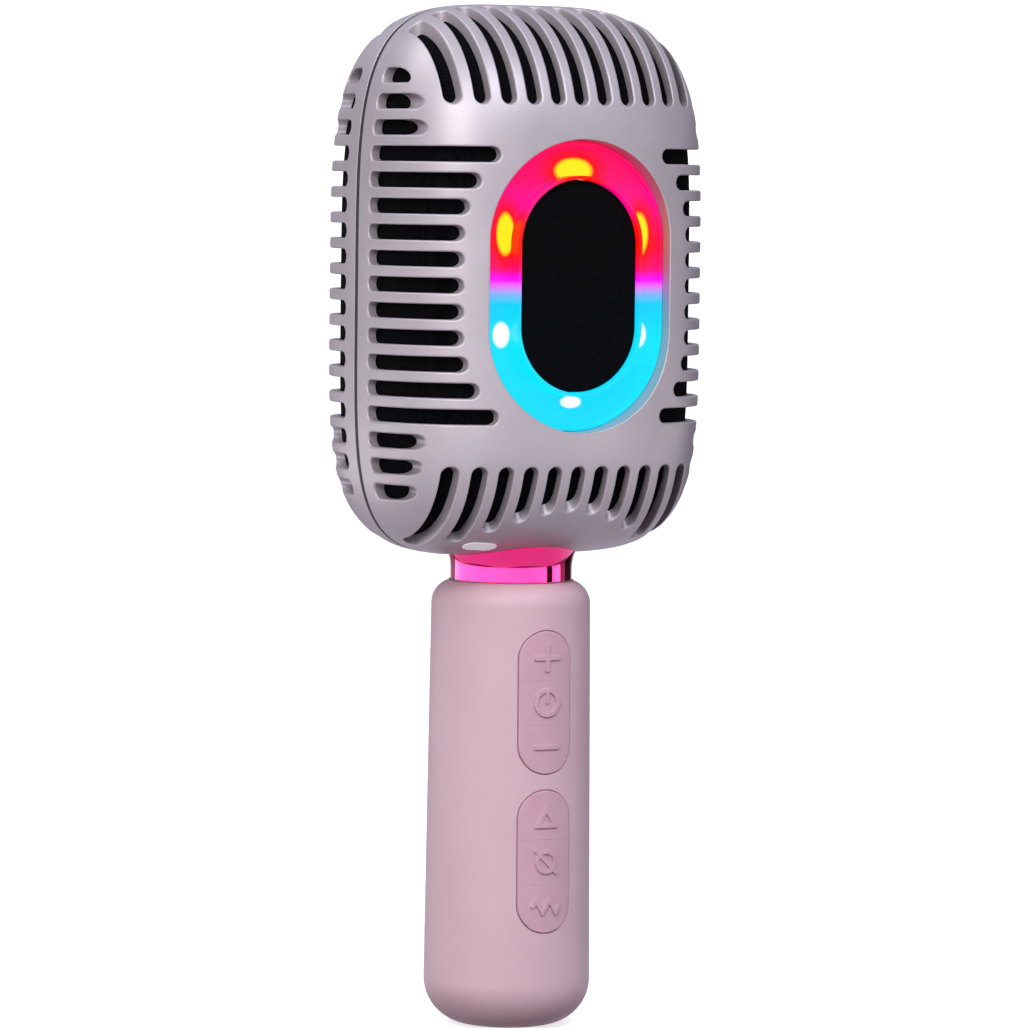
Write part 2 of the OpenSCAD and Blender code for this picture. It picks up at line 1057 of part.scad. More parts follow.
module battery_cradle() {
    low = battery_z - cradle_end_t - 0.3;
    length = battery_h + 2 * cradle_end_t + 0.6;
    color(plastic_grey)
        difference() {
            union() {
                translate([0, battery_y, low])
                    cylinder(h = length, r = cradle_out);
                for (s = [-1, 1])
                    translate([s * rail_x - rail_w / 2, main_board_front + board_t, low])
                        cube([rail_w, battery_y - main_board_front - board_t, length]);
            }
            translate([0, battery_y, low + cradle_end_t])
                cylinder(h = length - 2 * cradle_end_t, r = cradle_in);
            translate([-cradle_in, -far, low - 1])
                cube([2 * cradle_in, far + battery_y - 1, length + 2]);
            for (s = [-1, 1], z = board_screw_z)
                rod_y(0.8, -20, -0.8, s * rail_x, z);
        }
}

module battery_contacts() {
    gap = 0.3;
    color([0.8, 0.7, 0.4])
        for (z = [battery_z - gap, battery_z + battery_h])
            translate([0, battery_y + 3, z])
                cylinder(h = gap, r = 4);
}

front_shell();
rear_shell();
seam_gasket();
front_liner();
rear_liner();
light_ring();
ring_reflector();
led_board();
leds();
ring_screws();
front_cloth();
cloth_frame();
mic_capsule();
capsule_holder();
rear_bezel();
rear_cloth();
rear_grille();
inner_frame();
frame_screws();
speaker_basket();
speaker_surround();
speaker_cone();
dust_cap();
voice_coil();
speaker_magnet();
speaker_yoke();
speaker_screws();
neck_collar();
neck_tube();
neck_nut();
neck_screws();
wire_loom();
underside_sticker();
handle_body();
base_cap();
usb_socket();
plus_key();
power_key();
minus_key();
echo_key();
mute_key();
mode_key();
upper_key_web();
lower_key_web();
key_board();
tact_switches();
main_board();
bluetooth_module();
amplifier_chip();
board_screws();
battery_cell();
battery_cradle();
battery_contacts();
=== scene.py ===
"""Looks of the hand-held karaoke microphone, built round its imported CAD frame. Shapes are in millimetres."""

import json
import math

import bpy
import numpy as np
from mathutils import Matrix, Vector
from mathutils.geometry import delaunay_2d_cdt
from mathutils.kdtree import KDTree


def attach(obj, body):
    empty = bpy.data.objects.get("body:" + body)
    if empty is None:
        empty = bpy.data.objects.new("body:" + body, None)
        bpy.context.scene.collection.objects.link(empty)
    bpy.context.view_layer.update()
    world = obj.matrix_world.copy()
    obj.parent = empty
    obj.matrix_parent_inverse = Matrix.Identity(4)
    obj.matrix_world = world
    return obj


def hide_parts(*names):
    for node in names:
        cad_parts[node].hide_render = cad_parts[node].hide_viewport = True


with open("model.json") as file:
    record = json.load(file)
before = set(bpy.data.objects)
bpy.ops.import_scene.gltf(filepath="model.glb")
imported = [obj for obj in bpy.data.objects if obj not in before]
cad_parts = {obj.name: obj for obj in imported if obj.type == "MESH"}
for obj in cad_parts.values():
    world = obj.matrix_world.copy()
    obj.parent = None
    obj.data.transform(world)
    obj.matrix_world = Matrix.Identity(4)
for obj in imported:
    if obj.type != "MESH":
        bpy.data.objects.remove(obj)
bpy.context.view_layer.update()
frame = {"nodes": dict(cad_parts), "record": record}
MM = 0.001

# ---------- Sizes in millimetres: the CAD model's, but for the wider seam and the key gap ----------

HEAD_Z, FACE_Z = 172.0, 171.3
HEAD_HALF = np.array([40.3, 35.3, 63.0])
PLAN_POWER = 2.95
SIDE_POWERS, FACE_POWERS = (5.0, 4.0), (5.5, 4.5)  # below and above the head's middle
WALL = 2.2
SEAM_HALF, SEAM_INSET = 0.75, 0.1
SLOT_PITCH, SLOT_R = 5.87, 1.7
SEAM_MARGIN, SLOT_GAP = 5.8, 5.3
SIDE_ROWS, LONG_ROWS, END_COLUMNS = 8, 5, 5
SHORT_SLOT_X, END_TIP, NECK_CLEAR = 34.2, 40.6, 28.6
RING_R, RING_STRAIGHT = 22.75, 10.15
CLOTH_R, CLOTH_STRAIGHT = 14.7, 9.15
COLLAR_R, COLLAR_BACK = 24.2, -27.0
HANDLE_H, NECK_R, TUBE_R = 103.0, 14.0, 12.95
FOOT_R, SHOULDER_R, FOOT_FILLET, SHOULDER_FILLET = 19.25, 18.35, 10.5, 5.5
CAVITY_R = 16.2
PAD_R, PAD_STRAIGHT, KEY_PITCH, KEY_GAP = 6.65, 9.85, 10.2, 0.12
UPPER_PAD_Z, LOWER_PAD_Z, KEY_BACK = 76.0, 39.5, -16.6


# ---------- Head form ----------

def head_shares(t):
    """Half width and depth of the head at t, from -1 (bottom) to 1 (top), as shares of the widest."""
    size = np.minimum(np.abs(t), 1.0)
    side, face = np.where(t < 0, *SIDE_POWERS), np.where(t < 0, *FACE_POWERS)
    return (1 - size ** side) ** (1 / side), np.sqrt(1 - size ** face)


def head_form(points, inset):
    """Below zero inside the head form that is inset from the outer surface, and above zero outside."""
    half = HEAD_HALF - inset
    t = (points[:, 2] - HEAD_Z) / half[2]
    width, depth = head_shares(t)
    value = (np.abs(points[:, 0]) / (half[0] * width + 1e-9)) ** PLAN_POWER
    value += (np.abs(points[:, 1]) / (half[1] * depth + 1e-9)) ** PLAN_POWER
    return np.where(np.abs(t) >= 1, 10.0, np.minimum(value - 1, 10.0))


HALVINGS = 44


def march(origin, direction, near, far, inset):
    """Where lines from points inside the form leave it, by halving."""
    low, high = np.full(len(origin), float(near)), np.full(len(origin), float(far))
    for _ in range(HALVINGS):
        middle = (low + high) / 2
        inside = head_form(origin + middle[:, None] * direction, inset) < 0
        low, high = np.where(inside, middle, low), np.where(inside, high, middle)
    return origin + low[:, None] * direction


def head_normal(points, inset):
    """Outward normals, from differences across a small step."""
    step = 0.02
    inner = HEAD_HALF - inset
    core = points.copy()
    core[:, 2] = np.clip(core[:, 2], HEAD_Z - inner[2] + 2 * step, HEAD_Z + inner[2] - 2 * step)
    ahead = [head_form(core + step * axis, inset) for axis in np.eye(3)]
    behind = [head_form(core - step * axis, inset) for axis in np.eye(3)]
    return unit(np.stack(ahead, 1) - np.stack(behind, 1))


def unit(vectors):
    return vectors / np.maximum(np.linalg.norm(vectors, axis=-1, keepdims=True), 1e-12)


def stack(*columns):
    return np.stack(np.broadcast_arrays(*[np.asarray(c, float) for c in columns]), 1)


def in_plane(flat, y, rise=0.0):
    """Flat points of x and z, placed in the upright plane at y."""
    return stack(flat[:, 0], y, rise + flat[:, 1])


def all_facing(points, *direction):
    """The same direction for each of the points."""
    return np.tile(np.array(direction, float), (len(points), 1))


MAP_SCALE = np.array([46.0, 58.0])


def head_to_map(points, inset):
    """A flat map of the front half of the head form: distance from the middle is the angle from the front."""
    ray = unit((points - [0, 0, HEAD_Z]) / (HEAD_HALF - inset))
    angle = np.arccos(np.clip(-ray[:, 1], -1, 1))
    across = np.hypot(ray[:, 0], ray[:, 2])
    return ray[:, [0, 2]] * (angle / np.maximum(across, 1e-9))[:, None] * MAP_SCALE


def head_from_map(flat, inset):
    turned = flat / MAP_SCALE
    angle = np.linalg.norm(turned, axis=1)
    share = np.sin(angle) / np.maximum(angle, 1e-9)
    ray = stack(turned[:, 0] * share, -np.cos(angle), turned[:, 1] * share)
    origin = np.tile([0, 0, HEAD_Z], (len(flat), 1))
    return march(origin, ray * (HEAD_HALF - inset), 0, 2, inset)


# ---------- Mesh building ----------

class Skin:
    """Collects faces with a normal for each corner, and makes one smooth mesh of them."""

    def __init__(self):
        self.points, self.count, self.faces, self.normals = [], 0, [], []

    def add(self, points):
        ids = np.arange(self.count, self.count + len(points))
        self.points.append(np.asarray(points, float))
        self.count += len(points)
        return ids

    def strip(self, ids_a, ids_b, normals_a, normals_b, closed=True):
        """Four-sided faces between two rows of points."""
        i = np.arange(len(ids_a) if closed else len(ids_a) - 1)
        j = (i + 1) % len(ids_a)
        self.faces.append(np.stack([ids_a[i], ids_a[j], ids_b[j], ids_b[i]], 1))
        self.normals.append(np.stack([normals_a[i], normals_a[j], normals_b[j], normals_b[i]], 1))

    def fill(self, triangles, normals):
        self.faces.append(triangles)
        self.normals.append(normals)

    def make(self, name, mirror_y=False):
        points = np.concatenate(self.points)
        loops, starts, corner_normals = [], [], []
        start = 0
        for faces, normals in zip(self.faces, self.normals):
            corners = points[faces]
            facing = np.cross(corners[:, 1] - corners[:, 0], corners[:, 2] - corners[:, 0])
            if faces.shape[1] == 4:
                facing = np.cross(corners[:, 2] - corners[:, 0], corners[:, 3] - corners[:, 1])
            wrong = np.einsum("ij,ij->i", facing, normals.sum(1)) < 0
            if mirror_y:
                wrong = ~wrong
            faces, normals = faces.copy(), normals.copy()
            faces[wrong], normals[wrong] = faces[wrong][:, ::-1], normals[wrong][:, ::-1]
            loops.append(faces.ravel())
            corner_normals.append(normals.reshape(-1, 3))
            starts.append(np.arange(len(faces)) * faces.shape[1] + start)
            start += faces.size
        points, corner_normals = points * MM, np.concatenate(corner_normals)
        if mirror_y:
            points, corner_normals = points * [1, -1, 1], corner_normals * [1, -1, 1]
        loops, starts = np.concatenate(loops), np.concatenate(starts)
        mesh = bpy.data.meshes.new(name)
        mesh.vertices.add(len(points))
        mesh.vertices.foreach_set("co", points.astype(np.float32).ravel())
        mesh.loops.add(len(loops))
        mesh.loops.foreach_set("vertex_index", loops.astype(np.int32))
        mesh.polygons.add(len(starts))
        mesh.polygons.foreach_set("loop_start", starts.astype(np.int32))
        mesh.update(calc_edges=True)
        mesh.validate()
        mesh.polygons.foreach_set("use_smooth", np.ones(len(mesh.polygons), bool))
        if len(mesh.loops) == len(corner_normals):
            mesh.normals_split_custom_set(unit(corner_normals).tolist())
        return link(name, mesh)


def link(name, data):
    piece = bpy.data.objects.new(name, data)
    bpy.context.scene.collection.objects.link(piece)
    return piece


def inside_polygon(flat, polygon):
    """Which points lie inside a closed polygon, by counting crossings."""
    found = np.zeros(len(flat), bool)
    near = np.all((flat > polygon.min(0)) & (flat < polygon.max(0)), axis=1)
    x, y = flat[near, 0][:, None], flat[near, 1][:, None]
    ax, ay = polygon[:, 0], polygon[:, 1]
    bx, by = np.roll(ax, -1), np.roll(ay, -1)
    spans = (ay > y) != (by > y)
    cross = x < (bx - ax) * (y - ay) / np.where(by == ay, 1e-12, by - ay) + ax
    found[near] = (spans & cross).sum(1) % 2 == 1
    return found


def within(flat, loops):
    """Which flat points lie inside the first closed loop and outside the others."""
    inside = inside_polygon(flat, loops[0])
    for hole in loops[1:]:
        inside &= ~inside_polygon(flat, hole)
    return inside


def clear_of(flat, edge, distance):
    """Which flat points are further than the distance from every point of an edge."""
    clear = np.ones(len(flat), bool)
    for p in edge:
        clear &= np.linalg.norm(flat - p, axis=1) > distance
    return clear


def triangulate(flat, loops):
    """Triangles over flat points that begin with the loops' own, inside the first loop, outside the rest.

    A point that is added where edges cross is given the last point's place. In each shell the outline crosses
    itself at the corners of the neck hole, which leaves four stray slivers across the inside.
    """
    edges, at = [], 0
    for loop in loops:
        edges += [(at + i, at + (i + 1) % len(loop)) for i in range(len(loop))]
        at += len(loop)
    result = delaunay_2d_cdt([Vector(p) for p in flat], edges, [], 0, 1e-7)
    places = np.array([p[:] for p in result[0]])
    origin = np.array([o[0] if o else -1 for o in result[3]])
    triangles = np.array(result[2])
    return origin[triangles[within(places[triangles].mean(1), loops)]]


EDGE_CLEARANCE = 0.55


def fill_region(skin, outline, holes, inner_points, inset, flip=False):
    """Fills the head form between an outline and its holes, given as rows of ids, with spare points."""
    loops = [outline] + holes
    edge_ids = np.concatenate(loops)
    edge = np.concatenate(skin.points)[edge_ids]
    edge_flat = head_to_map(edge, inset)
    flats = np.split(edge_flat, np.cumsum([len(loop) for loop in loops])[:-1])
    tree = KDTree(len(edge))
    for i, p in enumerate(edge):
        tree.insert(p, i)
    tree.balance()
    flat = head_to_map(inner_points, inset)
    keep = within(flat, flats) & np.array([tree.find(p)[2] > EDGE_CLEARANCE for p in inner_points])
    ids = np.concatenate([edge_ids, skin.add(inner_points[keep])])
    triangles = ids[triangulate(np.concatenate([edge_flat, flat[keep]]), flats)]
    points = np.concatenate(skin.points)
    normals = np.zeros((len(points), 3))
    used = np.unique(triangles)
    normals[used] = head_normal(points[used], inset) * (-1 if flip else 1)
    skin.fill(triangles, normals[triangles])


def tangents(points):
    return unit(np.roll(points, -1, 0) - np.roll(points, 1, 0))


def signed_area(flat):
    x, y = flat[:, 0], flat[:, 1]
    return (x * np.roll(y, -1) - y * np.roll(x, -1)).sum() / 2


def rounded_edge(skin, edge, inward, normals, project, radius, deeper=(), steps=4):
    """The rounded rim of an opening, whose edge runs anticlockwise round its free side, with any deeper rows.

    Returns the row on the surface and the last row.
    """
    along = tangents(edge)
    away = unit(np.cross(along, normals))
    start = project(edge + radius * away)
    end = edge + radius * inward
    free = -away - np.einsum("ij,ij->i", -away, inward)[:, None] * inward
    wall = unit(free - np.einsum("ij,ij->i", free, along)[:, None] * along)
    rows, row_normals = [], []
    for k in range(steps + 1):
        u = k / steps
        rows.append(skin.add((1 - u) ** 2 * start + 2 * u * (1 - u) * edge + u * u * end))
        row_normals.append(unit((1 - u) * normals + u * wall))
    for k in range(steps):
        skin.strip(rows[k], rows[k + 1], row_normals[k], row_normals[k + 1])
    last = rows[-1]
    for target, wall_normals in deeper:
        ids = skin.add(target)
        side = wall if wall_normals is None else wall_normals
        skin.strip(last, ids, side, side)
        last = ids
    return rows[0], last


# ---------- Slots ----------

def resample(points, count):
    """Points at even steps along a path, its ends kept."""
    steps = np.linalg.norm(np.diff(points, axis=0), axis=1)
    run = np.concatenate([[0], np.cumsum(steps)])
    at = np.linspace(0, run[-1], count + 1)
    return np.stack([np.interp(at, run, points[:, k]) for k in range(3)], 1)


def plane_path(a, b, fixed, inset, count):
    """The surface path from a to b in even steps, its ends left out, where coordinate `fixed` is constant."""
    centre = np.array([0, 0, HEAD_Z])
    centre[fixed] = a[fixed]
    free = [k for k in range(3) if k != fixed]
    da, db = (a - centre)[free], (b - centre)[free]
    turn_a, turn_b = math.atan2(da[1], da[0]), math.atan2(db[1], db[0])
    turn_b = turn_a + (turn_b - turn_a + math.pi) % (2 * math.pi) - math.pi

    def on_surface(turns):
        ray = np.zeros((len(turns), 3))
        ray[:, free[0]], ray[:, free[1]] = np.cos(turns), np.sin(turns)
        return march(np.tile(centre, (len(turns), 1)), ray, 0, 90, inset)

    even = resample(on_surface(np.linspace(turn_a, turn_b, 240)), count)
    d = even - centre
    return on_surface(np.unwrap(np.arctan2(d[:, free[1]], d[:, free[0]])))[1:-1]


def slot_loop(end_arc, seam_arc, fixed, inset, count):
    """A slot's closed outline on the surface: round its face end, along, round its seam end and back."""
    there = plane_path(end_arc[-1], seam_arc[0], fixed, inset, count)
    back = plane_path(seam_arc[-1], end_arc[0], fixed, inset, count)
    return np.concatenate([end_arc, there, seam_arc, back])


HALF_TURN = np.linspace(-math.pi / 2, math.pi / 2, 11)


def side_slot(z, end_x, side):
    """The outlines of a side slot on the outer and the inner surface."""
    rise = z + SLOT_R * np.sin(HALF_TURN)
    y = -(SEAM_MARGIN + SLOT_R) + SLOT_R * np.cos(HALF_TURN)
    loops = []
    count = max(3, int((62 - end_x) / 1.5))
    for inset in (0, WALL):
        t = (abs(z - HEAD_Z) + SLOT_R) / (HEAD_HALF[2] - inset)
        widest = (HEAD_HALF[0] - inset) * float(head_shares(np.array(math.copysign(t, z - HEAD_Z)))[0])
        clipped = end_x + SLOT_R > widest - 0.5
        x = min(end_x + SLOT_R, widest - 0.5) - (0.45 if clipped else 1) * SLOT_R * np.cos(HALF_TURN)
        end_arc = march(stack(x, 0, rise[::-1]), stack(0 * x, -1, 0), 0, 60, inset)
        seam_arc = march(stack(0, y, rise), stack(1 + 0 * y, 0, 0), 0, 60, inset)
        loops.append(slot_loop(end_arc, seam_arc, 2, inset, count) * [side, 1, 1])
    return loops


def end_slot(x, up):
    """The outlines of a top or bottom slot on the outer and the inner surface."""
    margin = SEAM_MARGIN if up > 0 else math.sqrt(max(NECK_CLEAR ** 2 - x * x, SEAM_MARGIN ** 2))
    across = x + SLOT_R * np.sin(HALF_TURN)
    rise = FACE_Z + up * (END_TIP + SLOT_R - SLOT_R * np.cos(HALF_TURN))
    y = -(margin + SLOT_R) + SLOT_R * np.cos(HALF_TURN)
    loops = []
    count = max(3, int((36 - margin) / 1.1))
    for inset in (0, WALL):
        end_arc = march(stack(across, 0, rise), stack(0 * rise, -1, 0), 0, 60, inset)
        lean = 1.3 if inset and up < 0 else 0.0
        seam_arc = march(stack(across[::-1], y + lean, HEAD_Z), stack(0 * y, 0, up), 0, 80, inset)
        loops.append(slot_loop(end_arc, seam_arc, 0, inset, count))
    return loops


def slot_end_x(rise):
    over = max(0.0, abs(rise) - RING_STRAIGHT)
    return math.sqrt((RING_R + SLOT_GAP) ** 2 - over * over)


def all_slots():
    found = []
    for i in range(-SIDE_ROWS, SIDE_ROWS + 1):
        rise = i * SLOT_PITCH
        end_x = slot_end_x(rise) if abs(i) <= LONG_ROWS else SHORT_SLOT_X
        found += [side_slot(FACE_Z + rise, end_x, side) for side in (-1, 1)]
    for k in range(-END_COLUMNS, END_COLUMNS + 1):
        found += [end_slot(k * SLOT_PITCH, up) for up in (-1, 1)]
    return found


def oriented(outer, inner, anticlockwise):
    """Both outlines, turned round if they don't run the way asked for, as seen from outside."""
    if (signed_area(head_to_map(outer, 0)) > 0) != anticlockwise:
        return outer[::-1], inner[::-1]
    return outer, inner


def stadium_turns(r, straight, arc_steps, side_steps):
    """An upright stadium's outline in x and z about its middle, anticlockwise, and its outward directions."""
    arc = np.linspace(0, math.pi, arc_steps + 1)
    side = np.linspace(straight, -straight, side_steps + 1)[1:-1]
    top = stack(r * np.cos(arc), straight + r * np.sin(arc))
    left = stack(-r + 0 * side, side)
    bottom = stack(-r * np.cos(arc), -straight - r * np.sin(arc))
    right = stack(r + 0 * side, -side)
    flat = np.concatenate([top, left, bottom, right])
    core = stack(0 * flat[:, 0], np.clip(flat[:, 1], -straight, straight))
    return flat, unit(flat - core)


def spare_points(inset, pitch):
    """Even points over the front half of the head form."""
    reach = MAP_SCALE * math.pi / 2
    x = np.arange(-reach[0], reach[0], pitch)
    y = np.arange(-reach[1], reach[1], pitch * 0.9)
    gx, gy = np.meshgrid(x, y)
    gx[1::2] += pitch / 2
    flat = np.stack([gx.ravel(), gy.ravel()], 1)
    flat = flat[np.linalg.norm(flat / MAP_SCALE, axis=1) < math.pi / 2 - 0.004]
    return head_from_map(flat, inset)


NECK_STEPS, SEAM_STEPS = 42, 280


def round_head(y, inset, gap, count):
    """The surface path round the head in the plane at y, open at the bottom where the neck passes."""
    turns = np.linspace(-math.pi / 2, 3 * math.pi / 2, 900)
    origin = np.tile([0, y, HEAD_Z], (len(turns), 1))
    path = march(origin, stack(np.cos(turns), 0, np.sin(turns)), 0, 90, inset)
    return resample(path[(np.abs(path[:, 0]) > gap) | (path[:, 2] > HEAD_Z)], count)


def round_neck(r, inset):
    """The surface path round the front of the neck, r from its middle."""
    arc = np.linspace(math.pi, 0, NECK_STEPS)[1:-1]
    x = r * np.cos(arc)
    return march(stack(x, -r * np.sin(arc), HEAD_Z), stack(0 * x, 0, -1), 0, 80, inset)


def seam_edge(inset):
    """The front half's edge: along the seam, and round the neck hole at the bottom."""
    path = round_head(-SEAM_HALF, inset, math.sqrt(TUBE_R ** 2 - SEAM_HALF ** 2), SEAM_STEPS)
    return np.concatenate([path, round_neck(TUBE_R, inset)])


def build_shell(name, rear):
    """Half of the head's shell, with its slots and the opening for the light ring or the rear ring."""
    skin = Skin()
    slot_rounding, mouth_rounding, seam_rounding = 0.5, 0.45, 0.35
    on_outer = lambda p: march(p, head_normal(p, 0), -1.2, 1.2, 0)

    def rim(outer, inner, radius):
        inward = unit(inner - outer)
        return rounded_edge(skin, outer, inward, head_normal(outer, 0), on_outer, radius, [(inner, None)])

    holes = [rim(*oriented(outer, inner, True), slot_rounding) for outer, inner in all_slots()]
    flat, outward = stadium_turns(RING_R, RING_STRAIGHT, 48, 16)
    place = in_plane(flat, 0, FACE_Z)
    forward = all_facing(flat, 0, -1, 0)
    edge = march(place, forward, 0, 60, 0)
    if rear:
        deeper = [(march(place, forward, 0, 60, WALL), None)]
    else:
        radial = in_plane(outward, 0)
        back = stack(edge[:, 0], COLLAR_BACK, edge[:, 2])
        back_out = back + radial * (COLLAR_R - RING_R)
        inner = march(back_out * [1, 0, 1], forward, 0, 60, WALL)
        deeper = [(back, None), (back_out, -forward), (inner, radial)]
    holes.append(rounded_edge(skin, edge, -forward, head_normal(edge, 0), on_outer, mouth_rounding, deeper))
    outline = rim(*oriented(seam_edge(0), seam_edge(WALL), False), seam_rounding)
    for k, inset, pitch in ((0, 0, 1.7), (1, WALL, 2.2)):
        fill_region(skin, outline[k], [hole[k] for hole in holes], spare_points(inset, pitch), inset, k == 1)
    return skin.make(name, mirror_y=rear)


def build_liner(name, rear):
    """The curved cloth-faced mesh behind the slots of one shell."""
    skin = Skin()
    outer_inset, inner_inset, opening_r, neck_r, edge_y = 2.35, 3.5, 26.6, 23.5, -0.6
    flat, _ = stadium_turns(opening_r, RING_STRAIGHT, 40, 12)
    rings = []
    for inset, flip in ((outer_inset, False), (inner_inset, True)):
        path = round_head(edge_y, inset, neck_r, 200)
        outline = skin.add(np.concatenate([path, round_neck(neck_r, inset)]))
        hole = skin.add(march(in_plane(flat, 0, FACE_Z), all_facing(flat, 0, -1, 0), 0, 60, inset))
        fill_region(skin, outline, [hole], spare_points(inset, 3.0), inset, flip)
        rings.append((outline, hole))
    points = np.concatenate(skin.points)
    for k, sign in ((0, 1), (1, -1)):
        edge = points[rings[0][k]]
        facing = unit(np.cross(tangents(edge), head_normal(edge, outer_inset)))
        outward = np.sign(np.einsum("ij,ij->i", facing, edge - edge.mean(0)).sum()) * sign
        skin.strip(rings[0][k], rings[1][k], facing * outward, facing * outward)
    return skin.make(name, mirror_y=rear)


def build_gasket():
    """The dark strip that fills the seam, just under the surface, ending either side of the neck."""
    skin = Skin()
    rows = []
    corners = ((-SEAM_HALF, SEAM_INSET), (SEAM_HALF, SEAM_INSET), (SEAM_HALF, WALL), (-SEAM_HALF, WALL))
    for y, inset in corners:
        path = round_head(y, inset, TUBE_R + 0.2, SEAM_STEPS)
        rows.append((skin.add(path), head_normal(path, inset)))
    back = all_facing(path, 0, 1, 0)
    for k, facing in enumerate((rows[0][1], back, -rows[0][1], -back)):
        skin.strip(rows[k][0], rows[(k + 1) % 4][0], facing, facing, closed=False)
    for end, side in ((0, -1), (-1, 1)):
        corner = np.array([ids[end] for ids, _ in rows])
        facing = np.tile([float(side), 0, 0], (3, 1))
        skin.fill(corner[None, [0, 1, 2]], facing[None])
        skin.fill(corner[None, [0, 2, 3]], facing[None])
    return skin.make("gasket_strip")


# ---------- Handle and keys ----------

def taper_r(z):
    low, high = FOOT_FILLET, HANDLE_H - SHOULDER_FILLET
    return FOOT_R + (SHOULDER_R - FOOT_R) * (z - low) / (high - low)


TAPER_SLOPE = (FOOT_R - SHOULDER_R) / (HANDLE_H - SHOULDER_FILLET - FOOT_FILLET)


def on_cone(flat, lift=0.0):
    """Points on the front of the handle's taper, given as x and z, lifted off it."""
    r = taper_r(flat[:, 1]) + lift
    return stack(flat[:, 0], -np.sqrt(r ** 2 - flat[:, 0] ** 2), flat[:, 1])


def cone_normal(points):
    around = unit(points * [1, 1, 0])
    return unit(around + [0, 0, TAPER_SLOPE])


def lathe(skin, profile, normals, turns, first=None, last=None):
    """Strips turned about Z along a profile of radius and height. Returns the first and last rings of ids."""
    circle = np.linspace(0, 2 * math.pi, turns, endpoint=False) + math.pi / 2
    cos, sin = np.cos(circle), np.sin(circle)
    rows, row_normals = [], []
    for k, ((r, z), (nr, nz)) in enumerate(zip(profile, normals)):
        if k == 0 and first is not None:
            ids = first
        elif k == len(profile) - 1 and last is not None:
            ids = last
        else:
            ids = skin.add(stack(r * cos, r * sin, z))
        rows.append(ids)
        row_normals.append(stack(nr * cos, nr * sin, nz))
    for k in range(len(rows) - 1):
        skin.strip(rows[k], rows[k + 1], row_normals[k], row_normals[k + 1])
    return rows[0], rows[-1]


def profile_normals(profile, outside=1):
    p = np.asarray(profile, float)
    d = np.gradient(p, axis=0)
    n = np.stack([d[:, 1], -d[:, 0]], 1) * outside
    return n / np.maximum(np.linalg.norm(n, axis=1, keepdims=True), 1e-9)


def arc_points(centre, r, start, end, steps):
    a = np.radians(np.linspace(start, end, steps + 1))
    return [(centre[0] + r * math.cos(t), centre[1] + r * math.sin(t)) for t in a]


TURNS = 128


def tube_region(skin, low_ids, high_ids, holes, radius_of, slope, flip, pitch):
    """Fills the side of a turned body between two rings, round the holes in its front."""
    points = np.concatenate(skin.points)
    circle = np.linspace(0, 2 * math.pi, TURNS, endpoint=False)
    z0, z1 = points[low_ids][0, 2], points[high_ids][0, 2]
    scale = radius_of((z0 + z1) / 2)
    full = 2 * math.pi * scale
    heights = np.linspace(z0, z1, max(3, int((z1 - z0) / pitch)) + 1)[1:-1]
    seam = skin.add(stack(0 * heights, radius_of(heights), heights))

    def to_flat(p):
        return stack(((np.arctan2(p[:, 1], p[:, 0]) - math.pi / 2) % (2 * math.pi)) * scale, p[:, 2])

    bottom, top = stack(circle * scale, z0), stack(circle * scale, z1)
    left, right = stack(0 * heights, heights), stack(full, heights)
    outline = np.concatenate([bottom, [[full, z0]], right, [[full, z1]], top[::-1], left[::-1]])
    outline_ids = np.concatenate([low_ids, low_ids[:1], seam, high_ids[:1], high_ids[::-1], seam[::-1]])
    flats = [outline] + [to_flat(points[hole]) for hole in holes]
    around, height = [grid.ravel() for grid in np.meshgrid(circle[1:], heights)]
    spare = stack(around * scale, height)
    keep = np.ones(len(spare), bool)
    for hole in flats[1:]:
        keep &= ~inside_polygon(spare, hole) & clear_of(spare, hole, 0.4)
    around, height = around[keep] + math.pi / 2, height[keep]
    r = radius_of(height)
    new_ids = skin.add(stack(r * np.cos(around), r * np.sin(around), height))
    ids = np.concatenate([outline_ids, *holes, new_ids])
    triangles = ids[triangulate(np.concatenate([*flats, spare[keep]]), flats)]
    points = np.concatenate(skin.points)
    normals = unit(unit(points * [1, 1, 0]) + [0, 0, slope]) * (-1 if flip else 1)
    skin.fill(triangles, normals[triangles])


def pad_outline(z, r=PAD_R, arc_steps=28, side_steps=26):
    flat, outward = stadium_turns(r, PAD_STRAIGHT, arc_steps, side_steps)
    return flat + [0, z], outward


